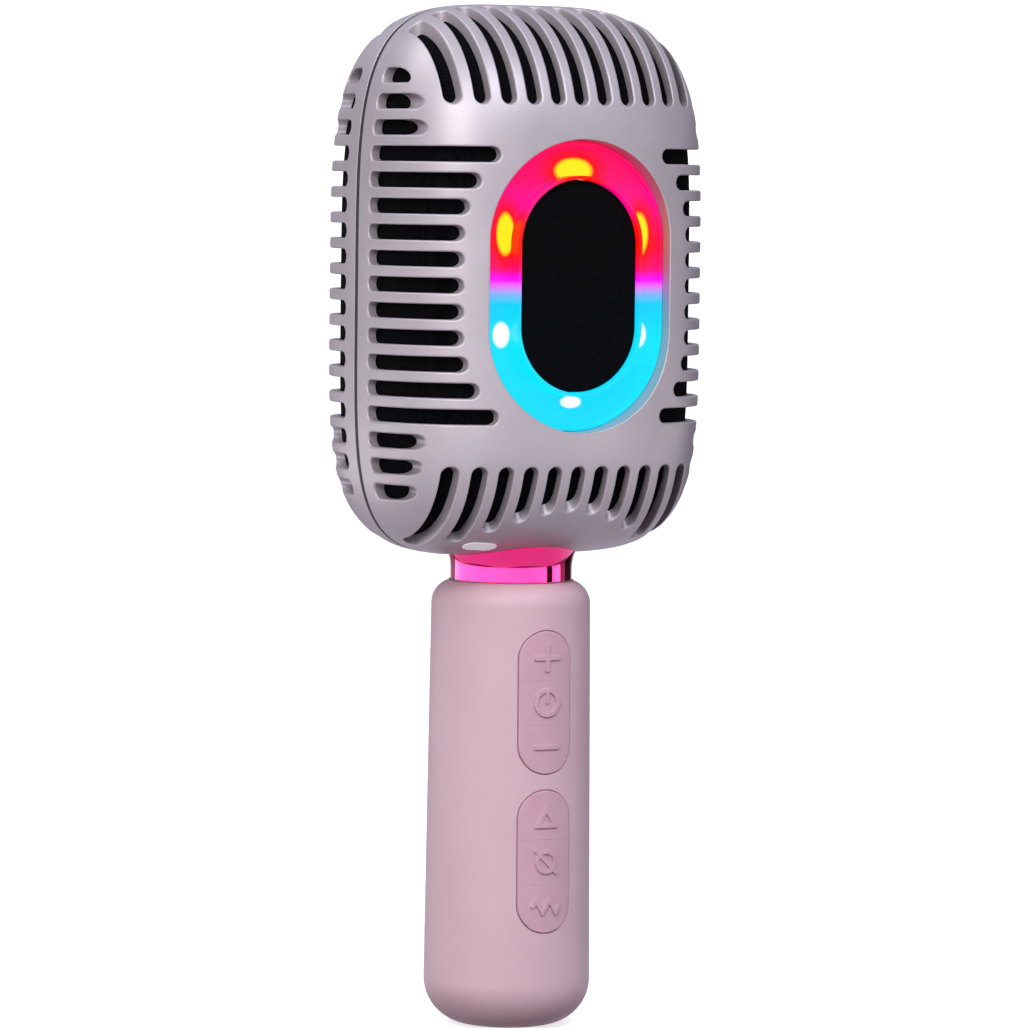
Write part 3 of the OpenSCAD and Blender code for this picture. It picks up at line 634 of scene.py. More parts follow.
def build_handle():
    skin = Skin()
    foot_in, foot_out = 8.75, FOOT_R - FOOT_FILLET
    bottom = [(foot_in, 2.5), (foot_in, 0.6), (foot_in, 0.0)]
    fillet = arc_points((foot_out, FOOT_FILLET), FOOT_FILLET, -90, 0, 22)
    profile = bottom + fillet[1:]
    normals = profile_normals(profile)
    normals[:2] = [-1, 0]
    normals[2] = [0, -1]
    first, low = lathe(skin, profile, normals, TURNS)
    top = arc_points((SHOULDER_R - SHOULDER_FILLET, HANDLE_H - SHOULDER_FILLET), SHOULDER_FILLET, 0, 80, 16)
    top += [(NECK_R + 0.4, HANDLE_H - 0.02), (NECK_R, HANDLE_H), (TUBE_R, HANDLE_H)]
    high, roof = lathe(skin, top, profile_normals(top), TURNS)
    inside = [(TUBE_R, HANDLE_H - 3.3), (15.5, HANDLE_H - 3.3), (CAVITY_R, HANDLE_H - 6.3)]
    into = np.array([(TUBE_R, HANDLE_H)] + inside)
    _, cavity_high = lathe(skin, into, profile_normals(into), TURNS, first=roof)
    under = [(CAVITY_R, 12), (16, 8), (14.6, 4), (13.2, 2.5), (foot_in, 2.5)]
    cavity_low, _ = lathe(skin, under, profile_normals(under), TURNS, last=first)
    outer_holes, inner_holes = [], []
    for z in (LOWER_PAD_Z, UPPER_PAD_Z):
        flat, _ = pad_outline(z)
        edge = on_cone(flat)
        inner = stack(edge[:, 0], -np.sqrt(CAVITY_R ** 2 - edge[:, 0] ** 2), edge[:, 2])
        on_taper = lambda p: on_cone(p[:, [0, 2]])
        rounding = 0.3
        inward = unit(inner - edge)
        first_row, last_row = rounded_edge(skin, edge, inward, cone_normal(edge), on_taper, rounding,
                                           [(inner, None)])
        outer_holes.append(first_row)
        inner_holes.append(last_row)
    tube_region(skin, low, high, outer_holes, taper_r, TAPER_SLOPE, False, 1.4)
    tube_region(skin, cavity_low, cavity_high, inner_holes, lambda z: CAVITY_R + 0 * z, 0, True, 3.0)
    return skin.make("handle_shell")


def smooth_loop(corners, radius, steps=4):
    """A flat outline with each corner rounded."""
    corners = np.asarray(corners, float)
    out = []
    n = len(corners)
    for i in range(n):
        p, a, b = corners[i], corners[i - 1], corners[(i + 1) % n]
        reach = min(radius, 0.45 * np.linalg.norm(a - p), 0.45 * np.linalg.norm(b - p))
        start = p + reach * (a - p) / np.linalg.norm(a - p)
        end = p + reach * (b - p) / np.linalg.norm(b - p)
        for u in np.linspace(0, 1, steps + 1):
            out.append((1 - u) ** 2 * start + 2 * u * (1 - u) * p + u * u * end)
    return densify(np.array(out), 0.6)


def densify(loop, pitch):
    out = []
    for i in range(len(loop)):
        a, b = loop[i], loop[(i + 1) % len(loop)]
        n = max(1, int(np.ceil(np.linalg.norm(b - a) / pitch)))
        for k in range(n):
            out.append(a + (b - a) * k / n)
    return np.array(out)


def offset_loop(loop, amount):
    """An anticlockwise outline grown by amount."""
    along = unit(np.roll(loop, -1, 0) - np.roll(loop, 1, 0))
    return loop + amount * stack(along[:, 1], -along[:, 0])


def circle_loop(r, centre=(0, 0), steps=40):
    a = np.linspace(0, 2 * math.pi, steps, endpoint=False)
    return stack(centre[0] + r * np.cos(a), centre[1] + r * np.sin(a))


def stroke_corners(path, width):
    """The outline of a bent stroke with mitred corners."""
    path = np.asarray(path, float)
    left, right = [], []
    for i, p in enumerate(path):
        d0 = path[i] - path[i - 1] if i else path[1] - path[0]
        d1 = path[i + 1] - path[i] if i < len(path) - 1 else d0
        d0, d1 = d0 / np.linalg.norm(d0), d1 / np.linalg.norm(d1)
        n0, n1 = np.array([-d0[1], d0[0]]), np.array([-d1[1], d1[0]])
        m = (n0 + n1) / np.linalg.norm(n0 + n1)
        reach = width / 2 / max(0.45, float(m @ n0))
        left.append(p + m * reach)
        right.append(p - m * reach)
    return right + left[::-1]


def circle_part(r, start, end, steps=24):
    a = np.radians(np.linspace(start, end, steps))
    return [np.array([r * math.cos(t), r * math.sin(t)]) for t in a]


def turned(points, angle):
    cos, sin = math.cos(angle), math.sin(angle)
    return [np.array([p[0] * cos - p[1] * sin, p[0] * sin + p[1] * cos]) for p in points]


def symbols():
    """Raised outlines of each key's symbol as (outer loop, holes), anticlockwise, about the key's middle."""
    line, h = 1.0, 3.2
    k = line / 2
    cross = [(k, k), (k, h), (-k, h), (-k, k), (-h, k), (-h, -k),
             (-k, -k), (-k, -h), (k, -h), (k, -k), (h, -k), (h, k)]
    bar = [(-h, -k), (h, -k), (h, k), (-h, k)]
    power_r, inner_r, tongue = 3.3, 2.35, 0.36
    lean = math.degrees(math.asin(tongue / inner_r))
    power_hole = circle_part(inner_r, 90 + lean, 450 - lean, 40)
    power_hole += [np.array([tongue, -0.2]), np.array([-tongue, -0.2])]
    triangle = [(-3.0, -2.4), (3.0, -2.4), (0, 2.9)]
    triangle_hole = [(-1.35, -1.42), (1.35, -1.42), (0, 0.95)]
    ring_r, ring_line, slash, reach, tilt = 2.75, 0.9, 0.42, 4.0, -math.pi / 4
    cut = math.degrees(math.asin(slash / ring_r))
    half = math.degrees(math.asin(slash / (ring_r - ring_line)))
    slashed = circle_part(ring_r, cut, 180 - cut, 30)
    slashed += [np.array([-reach, slash]), np.array([-reach, -slash])]
    slashed += circle_part(ring_r, 180 + cut, 360 - cut, 30)
    slashed += [np.array([reach, -slash]), np.array([reach, slash])]
    halves = [circle_part(ring_r - ring_line, start + half, start + 180 - half, 24) for start in (0, 180)]
    wave = [(-3.5, -0.3), (-2.55, 1.5), (-0.85, -1.5), (0.85, 1.5), (2.55, -1.5), (3.5, 0.3)]
    return {
        "plus_key": (smooth_loop(cross, 0.3), []),
        "power_key": (circle_loop(power_r), [smooth_loop(power_hole, 0.15, 2)]),
        "minus_key": (smooth_loop(bar, 0.35), []),
        "echo_key": (smooth_loop(triangle, 0.6), [smooth_loop(triangle_hole, 0.3)]),
        "mute_key": (smooth_loop(turned(slashed, tilt), 0.2, 2),
                     [smooth_loop(turned(part, tilt), 0.2, 2) for part in halves]),
        "mode_key": (smooth_loop(stroke_corners(wave, 0.85), 0.5), []),
    }


JOINT_GAP = 0.01  # half the hairline between two keys


def key_loop(place):
    """The flat outline of the key in place -1, 0 or 1 of its pad, anticlockwise."""
    half = PAD_STRAIGHT + PAD_R
    r = PAD_R - KEY_GAP
    low = -half if place == -1 else (place - 0.5) * KEY_PITCH + JOINT_GAP
    high = half if place == 1 else (place + 0.5) * KEY_PITCH - JOINT_GAP
    flat, _ = stadium_turns(r, PAD_STRAIGHT, 48, 60)
    inside = (flat[:, 1] > low + 0.004) & (flat[:, 1] < high - 0.004)
    start = int(np.argmax(~inside)) if (~inside).any() else 0
    flat, inside = np.roll(flat, -start, 0), np.roll(inside, -start)
    points = flat[inside]
    gaps = np.linalg.norm(np.roll(points, -1, 0) - points, axis=1)
    out = []
    for i, p in enumerate(points):
        out.append(p)
        if gaps[i] > 4:
            q = points[(i + 1) % len(points)]
            level = high if p[1] > (low + high) / 2 else low
            out += [np.array([p[0], level]), np.array([q[0], level])]
    return densify(np.array(out), 0.9)


def fill_flat(skin, loops, surface, normals_of, pitch):
    """Fills a gently curved surface over a flat outline and its holes, given as (ids, flat points)."""
    flats = [f for _, f in loops]
    ids = np.concatenate([i for i, _ in loops])
    flat = np.concatenate(flats)
    low, high = flats[0].min(0), flats[0].max(0)
    spare = np.meshgrid(np.arange(low[0], high[0], pitch), np.arange(low[1], high[1], pitch))
    spare = np.stack([grid.ravel() for grid in spare], 1)
    spare = spare[within(spare, flats) & clear_of(spare, flat, 0.3)]
    if len(spare):
        ids = np.concatenate([ids, skin.add(surface(spare))])
        flat = np.concatenate([flat, spare])
    triangles = ids[triangulate(flat, flats)]
    skin.fill(triangles, normals_of(np.concatenate(skin.points))[triangles])


KEY_RISE, SYMBOL_RISE = 0.3, 0.45
# A symbol's side: how far out from its outline and how far up it runs, and how far its normal leans sideways
SYMBOL_SIDE = ((0.07, 0.0, 0.2), (0.05, 0.4, 0.9), (0.02, 0.8, 0.9), (-0.02, 0.95, 0.45), (-0.07, 1.0, 0.0))


def build_key(name, pad_z, place, symbol):
    """A key with a rounded rim that is sharp only where it meets the next key, and its raised symbol."""
    skin = Skin()
    outline = key_loop(place) + [0, pad_z]
    rim = []
    edge_r = 0.28
    joints = pad_z + (place + np.array([-0.5, 0.5])) * KEY_PITCH
    at_joint = (np.abs(outline[:, 1:] - joints) < 0.3).any(1)
    soft = np.where(at_joint, 0.03, 1.0)[:, None]
    for turn in np.radians([0, 22.5, 45, 67.5, 90]):
        shrink = edge_r * (1 - math.sin(turn)) * soft
        flat = outline + (offset_loop(outline, -1.0) - outline) * shrink
        drop = edge_r * (1 - math.cos(turn)) * soft[:, 0]
        r = taper_r(flat[:, 1]) + KEY_RISE - drop
        points = stack(flat[:, 0], -np.sqrt(r ** 2 - flat[:, 0] ** 2), flat[:, 1])
        outward = unit(outline - flat + 1e-6 * (offset_loop(outline, 1.0) - outline))
        normal = unit(cone_normal(points) * math.cos(turn) + in_plane(outward, 0) * math.sin(turn))
        rim.append((skin.add(points), normal, flat))
    for (a, na, _), (b, nb, _) in zip(rim, rim[1:]):
        skin.strip(a, b, na, nb)
    last_ids, last_normal, last_flat = rim[-1]
    base = skin.add(in_plane(last_flat, KEY_BACK))
    skin.strip(last_ids, base, last_normal, last_normal)
    backward = lambda p: all_facing(p, 0, 1, 0)
    fill_flat(skin, [(base, last_flat)], lambda f: in_plane(f, KEY_BACK), backward, 4.0)

    at = np.array([0.0, pad_z + place * KEY_PITCH])
    outer, holes = symbol
    around, plateau = [], []
    for k, loop in enumerate([outer] + holes):
        grow = 1 if k == 0 else -1
        rows = []
        side = in_plane((offset_loop(loop, 1.0) - loop) * grow, 0)
        for out, up, lean in SYMBOL_SIDE:
            flat = offset_loop(loop, grow * out) + at
            points = on_cone(flat, KEY_RISE + SYMBOL_RISE * up)
            rows.append((skin.add(points), unit(cone_normal(points) * (1 - lean) + side * lean), flat))
        for (a, na, _), (b, nb, _) in zip(rows, rows[1:]):
            skin.strip(a, b, na, nb)
        around.append((rows[0][0], rows[0][2]))
        plateau.append((rows[-1][0], rows[-1][2]))
    lifted = lambda f: on_cone(f, KEY_RISE)
    fill_flat(skin, [(rim[0][0], rim[0][2]), around[0]], lifted, cone_normal, 1.1)
    for hole in around[1:]:
        fill_flat(skin, [hole], lifted, cone_normal, 1.1)
    fill_flat(skin, plateau, lambda f: on_cone(f, KEY_RISE + SYMBOL_RISE), cone_normal, 0.8)
    return skin.make(name + "_cap")


# ---------- Neck, light ring, cloths and rear ring ----------

COLLAR_STRAIGHT, FLARE_R, COLLAR_GAP = 2.6, 10.0, 0.05


def build_collar():
    """The plated flare between the handle and the head, its top edge following the head."""
    skin = Skin()
    turns = 192
    circle = np.linspace(0, 2 * math.pi, turns, endpoint=False)
    out = stack(np.cos(circle), np.sin(circle), 0)
    foot = HANDLE_H + COLLAR_STRAIGHT

    def flare(angle):
        r = NECK_R + FLARE_R * (1 - np.cos(angle))
        return out * r[:, None] + [0, 0, foot] + np.outer(FLARE_R * np.sin(angle), [0, 0, 1])

    low, high = np.zeros(turns), np.full(turns, math.radians(60))
    for _ in range(HALVINGS):
        middle = (low + high) / 2
        outside = head_form(flare(middle), -COLLAR_GAP) > 0
        low, high = np.where(outside, middle, low), np.where(outside, high, middle)
    rows = [(out * r + [0, 0, z], normal) for r, z, normal in (
        (TUBE_R, HANDLE_H, (0, -1)), (NECK_R - 0.15, HANDLE_H, (0, -1)), (NECK_R, HANDLE_H + 0.15, (1, 0)),
        (NECK_R, foot - 1, (1, 0)))]
    rows = [(p, out * n[0] + [0, 0, n[1]]) for p, n in rows]
    for share in np.linspace(0, 1, 26):
        angle = low * share * 0.985
        rows.append((flare(angle), out * np.cos(angle)[:, None] - np.outer(np.sin(angle), [0, 0, 1])))
    top = flare(low)
    rows.append((top - out * 0.05, unit(out + [0, 0, 0.8])))
    for r in (TUBE_R + 1.5, TUBE_R):
        origin = out * r + [0, 0, HEAD_Z]
        ring = march(origin, np.tile([0.0, 0, -1], (turns, 1)), 0, 80, -COLLAR_GAP)
        rows.append((ring, np.tile([0.0, 0, 1], (turns, 1))))
    ids = [skin.add(p) for p, _ in rows]
    for k in range(len(rows) - 1):
        skin.strip(ids[k], ids[k + 1], rows[k][1], rows[k + 1][1])
    skin.strip(ids[-1], ids[0], -out, -out)
    return skin.make("collar_plated")


def swept(name, profile, centre_z, arc_steps=56, side_steps=18):
    """A closed profile of (radius, straight, y), anticlockwise with out to the right, run round a stadium."""
    skin = Skin()
    profile = np.asarray(profile, float)
    ids, outs = [], None
    for r, straight, y in profile:
        flat, outs = stadium_turns(r, straight, arc_steps, side_steps)
        ids.append(skin.add(stack(flat[:, 0], y, centre_z + flat[:, 1])))
    count = len(profile)
    for k in range(count):
        step = profile[(k + 1) % count] - profile[k]
        radial, forward = -step[2], step[0] + step[1] * 0.5
        normal = unit(stack(outs[:, 0] * radial, forward, outs[:, 1] * radial))
        skin.strip(ids[k], ids[(k + 1) % count], normal, normal)
    return skin.make(name)


def rounded_profile(corners, radius, steps=4):
    """A closed profile with its corners rounded; each corner is (radius, straight, y)."""
    corners = np.asarray(corners, float)
    points = []
    for i, p in enumerate(corners):
        a, b = corners[i - 1], corners[(i + 1) % len(corners)]
        start = p + min(radius, 0.45 * np.linalg.norm(a - p)) * unit((a - p)[None])[0]
        end = p + min(radius, 0.45 * np.linalg.norm(b - p)) * unit((b - p)[None])[0]
        for u in np.linspace(0, 1, steps + 1):
            points.append((1 - u) ** 2 * start + 2 * u * (1 - u) * p + u * u * end)
    return points


def build_ring():
    """The clear channel of the light ring: a floor, a low outer wall and a tall inner wall."""
    low, front, lip, outer_wall = -27.4, -28.6, -33.0, -29.8
    outer, wall, inner, inner_wall = 22.55, 0.8, 14.9, 0.8
    corners = [(outer, RING_STRAIGHT, low), (inner, CLOTH_STRAIGHT, low), (inner, CLOTH_STRAIGHT, lip),
               (inner + inner_wall, CLOTH_STRAIGHT, lip), (inner + inner_wall, CLOTH_STRAIGHT, front),
               (outer - wall, RING_STRAIGHT, front), (outer - wall, RING_STRAIGHT, outer_wall),
               (outer, RING_STRAIGHT, outer_wall)]
    return swept("ring_channel", rounded_profile(corners, 0.22), FACE_Z)


def build_front_cloth():
    """The woven cloth inside the ring, slightly padded and turned over at its edge."""
    skin = Skin()
    front, back, edge = -31.6, -30.9, 0.35
    flat, outs = stadium_turns(CLOTH_R, CLOTH_STRAIGHT, 56, 18)
    rows = []
    for turn in np.radians([0, 30, 60, 90]):
        inset = edge * (1 - math.sin(turn))
        ring = flat - outs * inset
        y = front + edge * (1 - math.cos(turn))
        normal = stack(outs[:, 0] * math.sin(turn), -math.cos(turn), outs[:, 1] * math.sin(turn))
        rows.append((skin.add(in_plane(ring, y, FACE_Z)), normal, ring))
    for (a, na, _), (b, nb, _) in zip(rows, rows[1:]):
        skin.strip(a, b, na, nb)
    base, side = skin.add(in_plane(flat, back, FACE_Z)), in_plane(outs, 0)
    skin.strip(rows[-1][0], base, side, side)
    sides = (((rows[0][0], rows[0][2]), front, -1, 2.0), ((base, flat), back, 1, 4.0))
    for loop, y, facing, pitch in sides:
        normals_of = lambda p: all_facing(p, 0, facing, 0)
        fill_flat(skin, [loop], lambda f: in_plane(f, y, FACE_Z), normals_of, pitch)
    return skin.make("cloth_front")


def build_bezel():
    """The plain ring round the rear cloth, with a rounded front edge."""
    near, far, outer, inner = 30.6, 33.4, 22.55, 18.35
    corners = [(r, RING_STRAIGHT, y) for r, y in ((outer, far), (inner, far), (inner, near), (outer, near))]
    return swept("bezel_rear", rounded_profile(corners, 0.8, 6), FACE_Z)


# ---------- Materials ----------

def linear(red, green, blue):
    """A display colour from 0 to 255 as the linear colour that shaders use."""
    shares = [c / 255 for c in (red, green, blue)]
    return tuple(c / 12.92 if c < 0.04045 else ((c + 0.055) / 1.055) ** 2.4 for c in shares) + (1.0,)


class Surface:
    """A material on Principled BSDF whose colour, roughness and relief come from noise and weave nodes."""

    def __init__(self, name, **sockets):
        self.material = bpy.data.materials.new(name)
        self.material.use_nodes = True
        self.tree = self.material.node_tree
        self.shader = self.tree.nodes["Principled BSDF"]
        for socket, value in sockets.items():
            self.shader.inputs[socket.replace("_", " ")].default_value = value
        self.place = self.tree.nodes.new("ShaderNodeTexCoord").outputs["Object"]

    def put(self, value, socket):
        if isinstance(value, bpy.types.NodeSocket):
            self.tree.links.new(value, socket)
        else:
            socket.default_value = value

    def math(self, operation, a, b=0.0, c=0.0):
        node = self.tree.nodes.new("ShaderNodeMath")
        node.operation = operation
        for socket, value in zip(node.inputs, (a, b, c)):
            self.put(value, socket)
        return node.outputs[0]

    def parts(self):
        node = self.tree.nodes.new("ShaderNodeSeparateXYZ")
        self.put(self.place, node.inputs[0])
        return node.outputs

    def noise(self, size_mm, detail=3.0, roughness=0.55):
        node = self.tree.nodes.new("ShaderNodeTexNoise")
        self.put(self.place, node.inputs["Vector"])
        node.inputs["Scale"].default_value = 1000 / size_mm
        node.inputs["Detail"].default_value = detail
        node.inputs["Roughness"].default_value = roughness
        return node.outputs["Fac"]

    def flakes(self, size_mm):
        node = self.tree.nodes.new("ShaderNodeTexVoronoi")
        self.put(self.place, node.inputs["Vector"])
        node.inputs["Scale"].default_value = 1000 / size_mm
        return node.outputs["Color"]

    def ramp(self, factor, *stops):
        node = self.tree.nodes.new("ShaderNodeValToRGB")
        self.put(factor, node.inputs["Fac"])
        points = node.color_ramp.elements
        while len(points) < len(stops):
            points.new(0.5)
        for point, (at, colour) in zip(points, stops):
            point.position = at
            point.color = colour if hasattr(colour, "__len__") else (colour, colour, colour, 1)
        return node.outputs["Color"]

    def mix(self, factor, a, b, blend="MIX"):
        node = self.tree.nodes.new("ShaderNodeMix")
        node.data_type = "RGBA"
        node.blend_type = blend
        self.put(factor, node.inputs["Factor"])
        for name, value in (("A", a), ("B", b)):
            socket = [i for i in node.inputs if i.name == name and i.type == "RGBA"][0]
            self.put(value, socket)
        return [o for o in node.outputs if o.type == "RGBA"][0]

    def bump(self, height, depth_mm, strength=1.0):
        node = self.tree.nodes.new("ShaderNodeBump")
        node.inputs["Distance"].default_value = depth_mm * MM
        node.inputs["Strength"].default_value = strength
        self.put(height, node.inputs["Height"])
        self.put(node.outputs["Normal"], self.shader.inputs["Normal"])
        return self

    def colour(self, value):
        self.put(value, self.shader.inputs["Base Color"])
        return self

    def rough(self, low, high, size_mm):
        self.put(self.ramp(self.noise(size_mm), (0.3, low), (0.7, high)), self.shader.inputs["Roughness"])
        return self


def mottled(name, dark, light, size_mm, rough, relief_mm, **sockets):
    """A plain finish with a slight drift in its colour and gloss, and a fine grain."""
    surface = Surface(name, **sockets)
    surface.colour(surface.ramp(surface.noise(size_mm), (0.3, linear(*dark)), (0.7, linear(*light))))
    surface.rough(rough[0], rough[1], size_mm * 0.6)
    return surface.bump(surface.noise(0.25, 2.0), relief_mm, 0.5).material


def pearl_paint():
    surface = Surface("pearl_paint", Metallic=0.45, Coat_Weight=0.15, Coat_Roughness=0.35)
    body = surface.ramp(surface.noise(14.0), (0.3, linear(178, 168, 174)), (0.7, linear(186, 176, 182)))
    fleck = surface.ramp(surface.flakes(0.16), (0.2, 0.86), (0.8, 1.0))
    surface.colour(surface.mix(0.5, body, fleck, "MULTIPLY"))
    surface.rough(0.46, 0.52, 5.0)
    return surface.bump(surface.noise(0.3, 2.0), 0.003, 0.4).material


def pink_plate():
    surface = Surface("pink_chrome", Metallic=1.0, Coat_Weight=0.3, Coat_Roughness=0.03)
    surface.colour(surface.ramp(surface.noise(9.0), (0.3, linear(238, 40, 118)), (0.7, linear(243, 50, 130))))
    return surface.rough(0.05, 0.09, 6.0).material


def woven(name, pitch_mm, dark, light, relief_mm):
    """Cloth with threads running both ways on the slant, about pitch_mm apart."""
    surface = Surface(name, Specular_IOR_Level=0.05)
    x, y, z = surface.parts()
    along = surface.math("ADD", x, y)
    turns = 2 * math.pi / (pitch_mm * MM)
    one = surface.math("SINE", surface.math("MULTIPLY", surface.math("ADD", along, z), turns))
    two = surface.math("SINE", surface.math("MULTIPLY", surface.math("SUBTRACT", along, z), turns))
    thread = surface.math("MULTIPLY_ADD", surface.math("MULTIPLY", one, two), 0.5, 0.5)
    fuzz = surface.math("MULTIPLY_ADD", surface.noise(0.35, 4.0), 0.7, -0.35)
    height = surface.math("ADD", thread, fuzz)
    surface.colour(surface.ramp(height, (0.25, dark), (0.95, light)))
    surface.rough(0.75, 0.92, 1.5)
    return surface.bump(height, relief_mm, 0.8).material


# Middle in x and z, half width, half height and tint of the bright spot over each lamp
LAMP_SPOTS = (
    (0.0, 25.9, 5.2, 3.1, "amber"), (16.8, 11.6, 2.7, 5.4, "amber"), (-17.0, 11.6, 2.4, 5.2, "amber"),
    (0.0, -26.2, 2.9, 1.5, "white"), (17.0, -11.0, 2.3, 3.2, "white"), (-17.8, -11.0, 2.3, 3.2, "white"),
)
# The y that the channel's floor lies behind, and the height of its gradient
CHANNEL_FRONT, GRADIENT_SPAN = -28.9, 70


def lit_acrylic():
    """The light channel: warm pink above, cold blue below, with a bright spot over each lamp."""
    surface = Surface("lit_acrylic", Roughness=0.3, Specular_IOR_Level=0.15)
    x, y, z = surface.parts()
    rise = surface.math("MULTIPLY_ADD", z, 1 / MM, -FACE_Z)
    stops = ((-33, (0, 215, 255)), (-12, (0, 225, 255)), (-4, (10, 205, 255)), (-2, (120, 180, 255)),
             (-0.2, (225, 120, 255)), (1.2, (255, 0, 255)), (3.8, (255, 0, 120)), (9, (255, 0, 50)),
             (14, (255, 0, 100)), (19, (255, 0, 140)), (24, (255, 0, 110)), (33, (255, 0, 80)))
    base = surface.ramp(surface.math("MULTIPLY_ADD", rise, 1 / GRADIENT_SPAN, 0.5),
                        *[(0.5 + at / GRADIENT_SPAN, linear(*c)) for at, c in stops])
    across = surface.math("DIVIDE", x, MM)
    tints = {"amber": linear(255, 235, 20), "white": linear(255, 255, 255)}
    lit = base
    for sx, sz, wide, tall, tint in LAMP_SPOTS:
        dx = surface.math("DIVIDE", surface.math("SUBTRACT", across, sx), wide)
        dz = surface.math("DIVIDE", surface.math("SUBTRACT", rise, sz), tall)
        far = surface.math("ADD", surface.math("MULTIPLY", dx, dx), surface.math("MULTIPLY", dz, dz))
        on_floor = surface.math("GREATER_THAN", y, CHANNEL_FRONT * MM)
        if tint == "amber":
            halo = surface.ramp(surface.math("MULTIPLY", far, 0.3), (0.25, 1.0), (1.0, 0.0))
            lit = surface.mix(halo, lit, linear(255, 0, 0))
        spot = surface.math("MULTIPLY", surface.ramp(far, (0.55, 1.0), (1.0, 0.0)), on_floor)
        lit = surface.mix(spot, lit, tints[tint])
    drift = surface.ramp(surface.noise(2.5), (0.3, 0.96), (0.7, 1.0))
    lit = surface.mix(1.0, lit, drift, "MULTIPLY")
    surface.colour(surface.mix(0.92, lit, (0.01, 0.01, 0.01, 1)))
    surface.put(lit, surface.shader.inputs["Emission Color"])
    surface.shader.inputs["Emission Strength"].default_value = 1.0
    return surface.material


def lamp():
    surface = Surface("lamp", Roughness=0.3)
    tone = surface.ramp(surface.noise(1.2), (0.3, linear(255, 240, 190)), (0.7, linear(255, 248, 215)))
    surface.colour(tone)
    surface.put(tone, surface.shader.inputs["Emission Color"])
    surface.shader.inputs["Emission Strength"].default_value = 1.0
    return surface.material


def circuit_board():
    surface = Surface("circuit_board", Roughness=0.35, Coat_Weight=0.4)
    tracks = surface.ramp(surface.flakes(1.6), (0.45, linear(16, 74, 42)), (0.62, linear(30, 104, 62)))
    grain = surface.ramp(surface.noise(0.8), (0.3, 0.85), (0.7, 1.0))
    surface.colour(surface.mix(1.0, tracks, grain, "MULTIPLY"))
    return surface.bump(surface.flakes(1.6), 0.02, 0.4).material


def brushed(name, dark, light, rough):
    surface = Surface(name, Metallic=1.0)
    surface.colour(surface.ramp(surface.noise(0.7, 5.0), (0.3, linear(*dark)), (0.7, linear(*light))))
    surface.rough(rough[0], rough[1], 0.6)
    return surface.bump(surface.noise(0.2, 4.0), 0.004, 0.5).material


# Darkest and lightest colour, size of their drift in mm, lowest and highest roughness, and relief in mm
PLAIN = {
    "pink_soft_touch": ((209, 172, 182), (213, 177, 187), 16.0, (0.5, 0.56), 0.006),
    "pink_key": ((200, 156, 170), (204, 161, 175), 8.0, (0.46, 0.54), 0.005),
    "black_rubber": ((22, 21, 24), (30, 29, 32), 3.0, (0.6, 0.75), 0.01),
    "white_plastic": ((232, 232, 232), (242, 242, 242), 6.0, (0.35, 0.45), 0.004),
    "black_plastic": ((26, 26, 28), (34, 34, 36), 4.0, (0.4, 0.55), 0.01),
    "speaker_steel": ((34, 34, 36), (44, 44, 47), 3.0, (0.35, 0.5), 0.01),
    "cone_paper": ((34, 33, 33), (52, 50, 50), 1.4, (0.8, 0.95), 0.03),
    "ferrite": ((46, 46, 48), (62, 62, 65), 1.8, (0.5, 0.65), 0.01),
    "white_label": ((246, 247, 250), (252, 252, 254), 3.0, (0.45, 0.6), 0.003),
    "battery_wrap": ((24, 74, 150), (32, 88, 168), 9.0, (0.22, 0.32), 0.004),
}
BRUSHED = {
    "steel": ((176, 178, 182), (200, 202, 206), (0.25, 0.36)),
    "aluminium_can": ((196, 198, 202), (214, 216, 220), (0.3, 0.42)),
    "copper": ((190, 108, 62), (214, 132, 84), (0.25, 0.36)),
}
SOCKETS = {
    "pink_soft_touch": {"Sheen_Weight": 0.1, "Sheen_Roughness": 0.5},
    "speaker_steel": {"Metallic": 0.6},
    # The white label also gets a faint bluish-white emission: a painted glow, since a sticker is no lamp.
    "white_label": {"Emission_Color": (0.9, 0.95, 1.0, 1.0), "Emission_Strength": 0.3},
    "battery_wrap": {"Coat_Weight": 0.4},
}


def all_materials():
    looks = {
        "pearl_paint": pearl_paint(),
        "pink_chrome": pink_plate(),
        "black_cloth": woven("black_cloth", 1.1, linear(1, 1, 3), linear(13, 13, 17), 0.12),
        "lit_acrylic": lit_acrylic(),
        "lamp": lamp(),
        "circuit_board": circuit_board(),
    }
    looks |= {name: mottled(name, *facts, **SOCKETS.get(name, {})) for name, facts in PLAIN.items()}
    looks |= {name: brushed(name, *facts) for name, facts in BRUSHED.items()}
    return looks


# ---------- Assembly ----------

KEYS = (("plus_key", UPPER_PAD_Z, 1), ("power_key", UPPER_PAD_Z, 0), ("minus_key", UPPER_PAD_Z, -1),
        ("echo_key", LOWER_PAD_Z, 1), ("mute_key", LOWER_PAD_Z, 0), ("mode_key", LOWER_PAD_Z, -1))


def assemble():
    looks = all_materials()
    finish_of = {row["node"]: row["material_slot"] for row in frame["record"]["subparts"]}
    for node, obj in frame["nodes"].items():
        for place in obj.material_slots:
            place.link = "OBJECT"
            place.material = looks[finish_of[node]]
        if not obj.material_slots:
            obj.data.materials.append(looks[finish_of[node]])

    def fit(piece, node, body="microphone"):
        piece.data.materials.append(looks[finish_of[node]])
        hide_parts(node)
        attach(piece, body)

    fit(build_shell("shell_front", False), "front_shell")
    fit(build_shell("shell_rear", True), "rear_shell")
    fit(build_gasket(), "seam_gasket")
    fit(build_liner("liner_front", False), "front_liner")
    fit(build_liner("liner_rear", True), "rear_liner")
    fit(build_ring(), "light_ring")
    fit(build_front_cloth(), "front_cloth")
    fit(build_bezel(), "rear_bezel")
    fit(build_collar(), "neck_collar")
    fit(build_handle(), "handle_body")
    shapes = symbols()
    for node, pad_z, place in KEYS:
        fit(build_key(node, pad_z, place, shapes[node]), node, node)


# ---------- Camera, lights and floor ----------

CAMERA_ROLL, CAMERA_SHIFT = 0.68, 0.0022


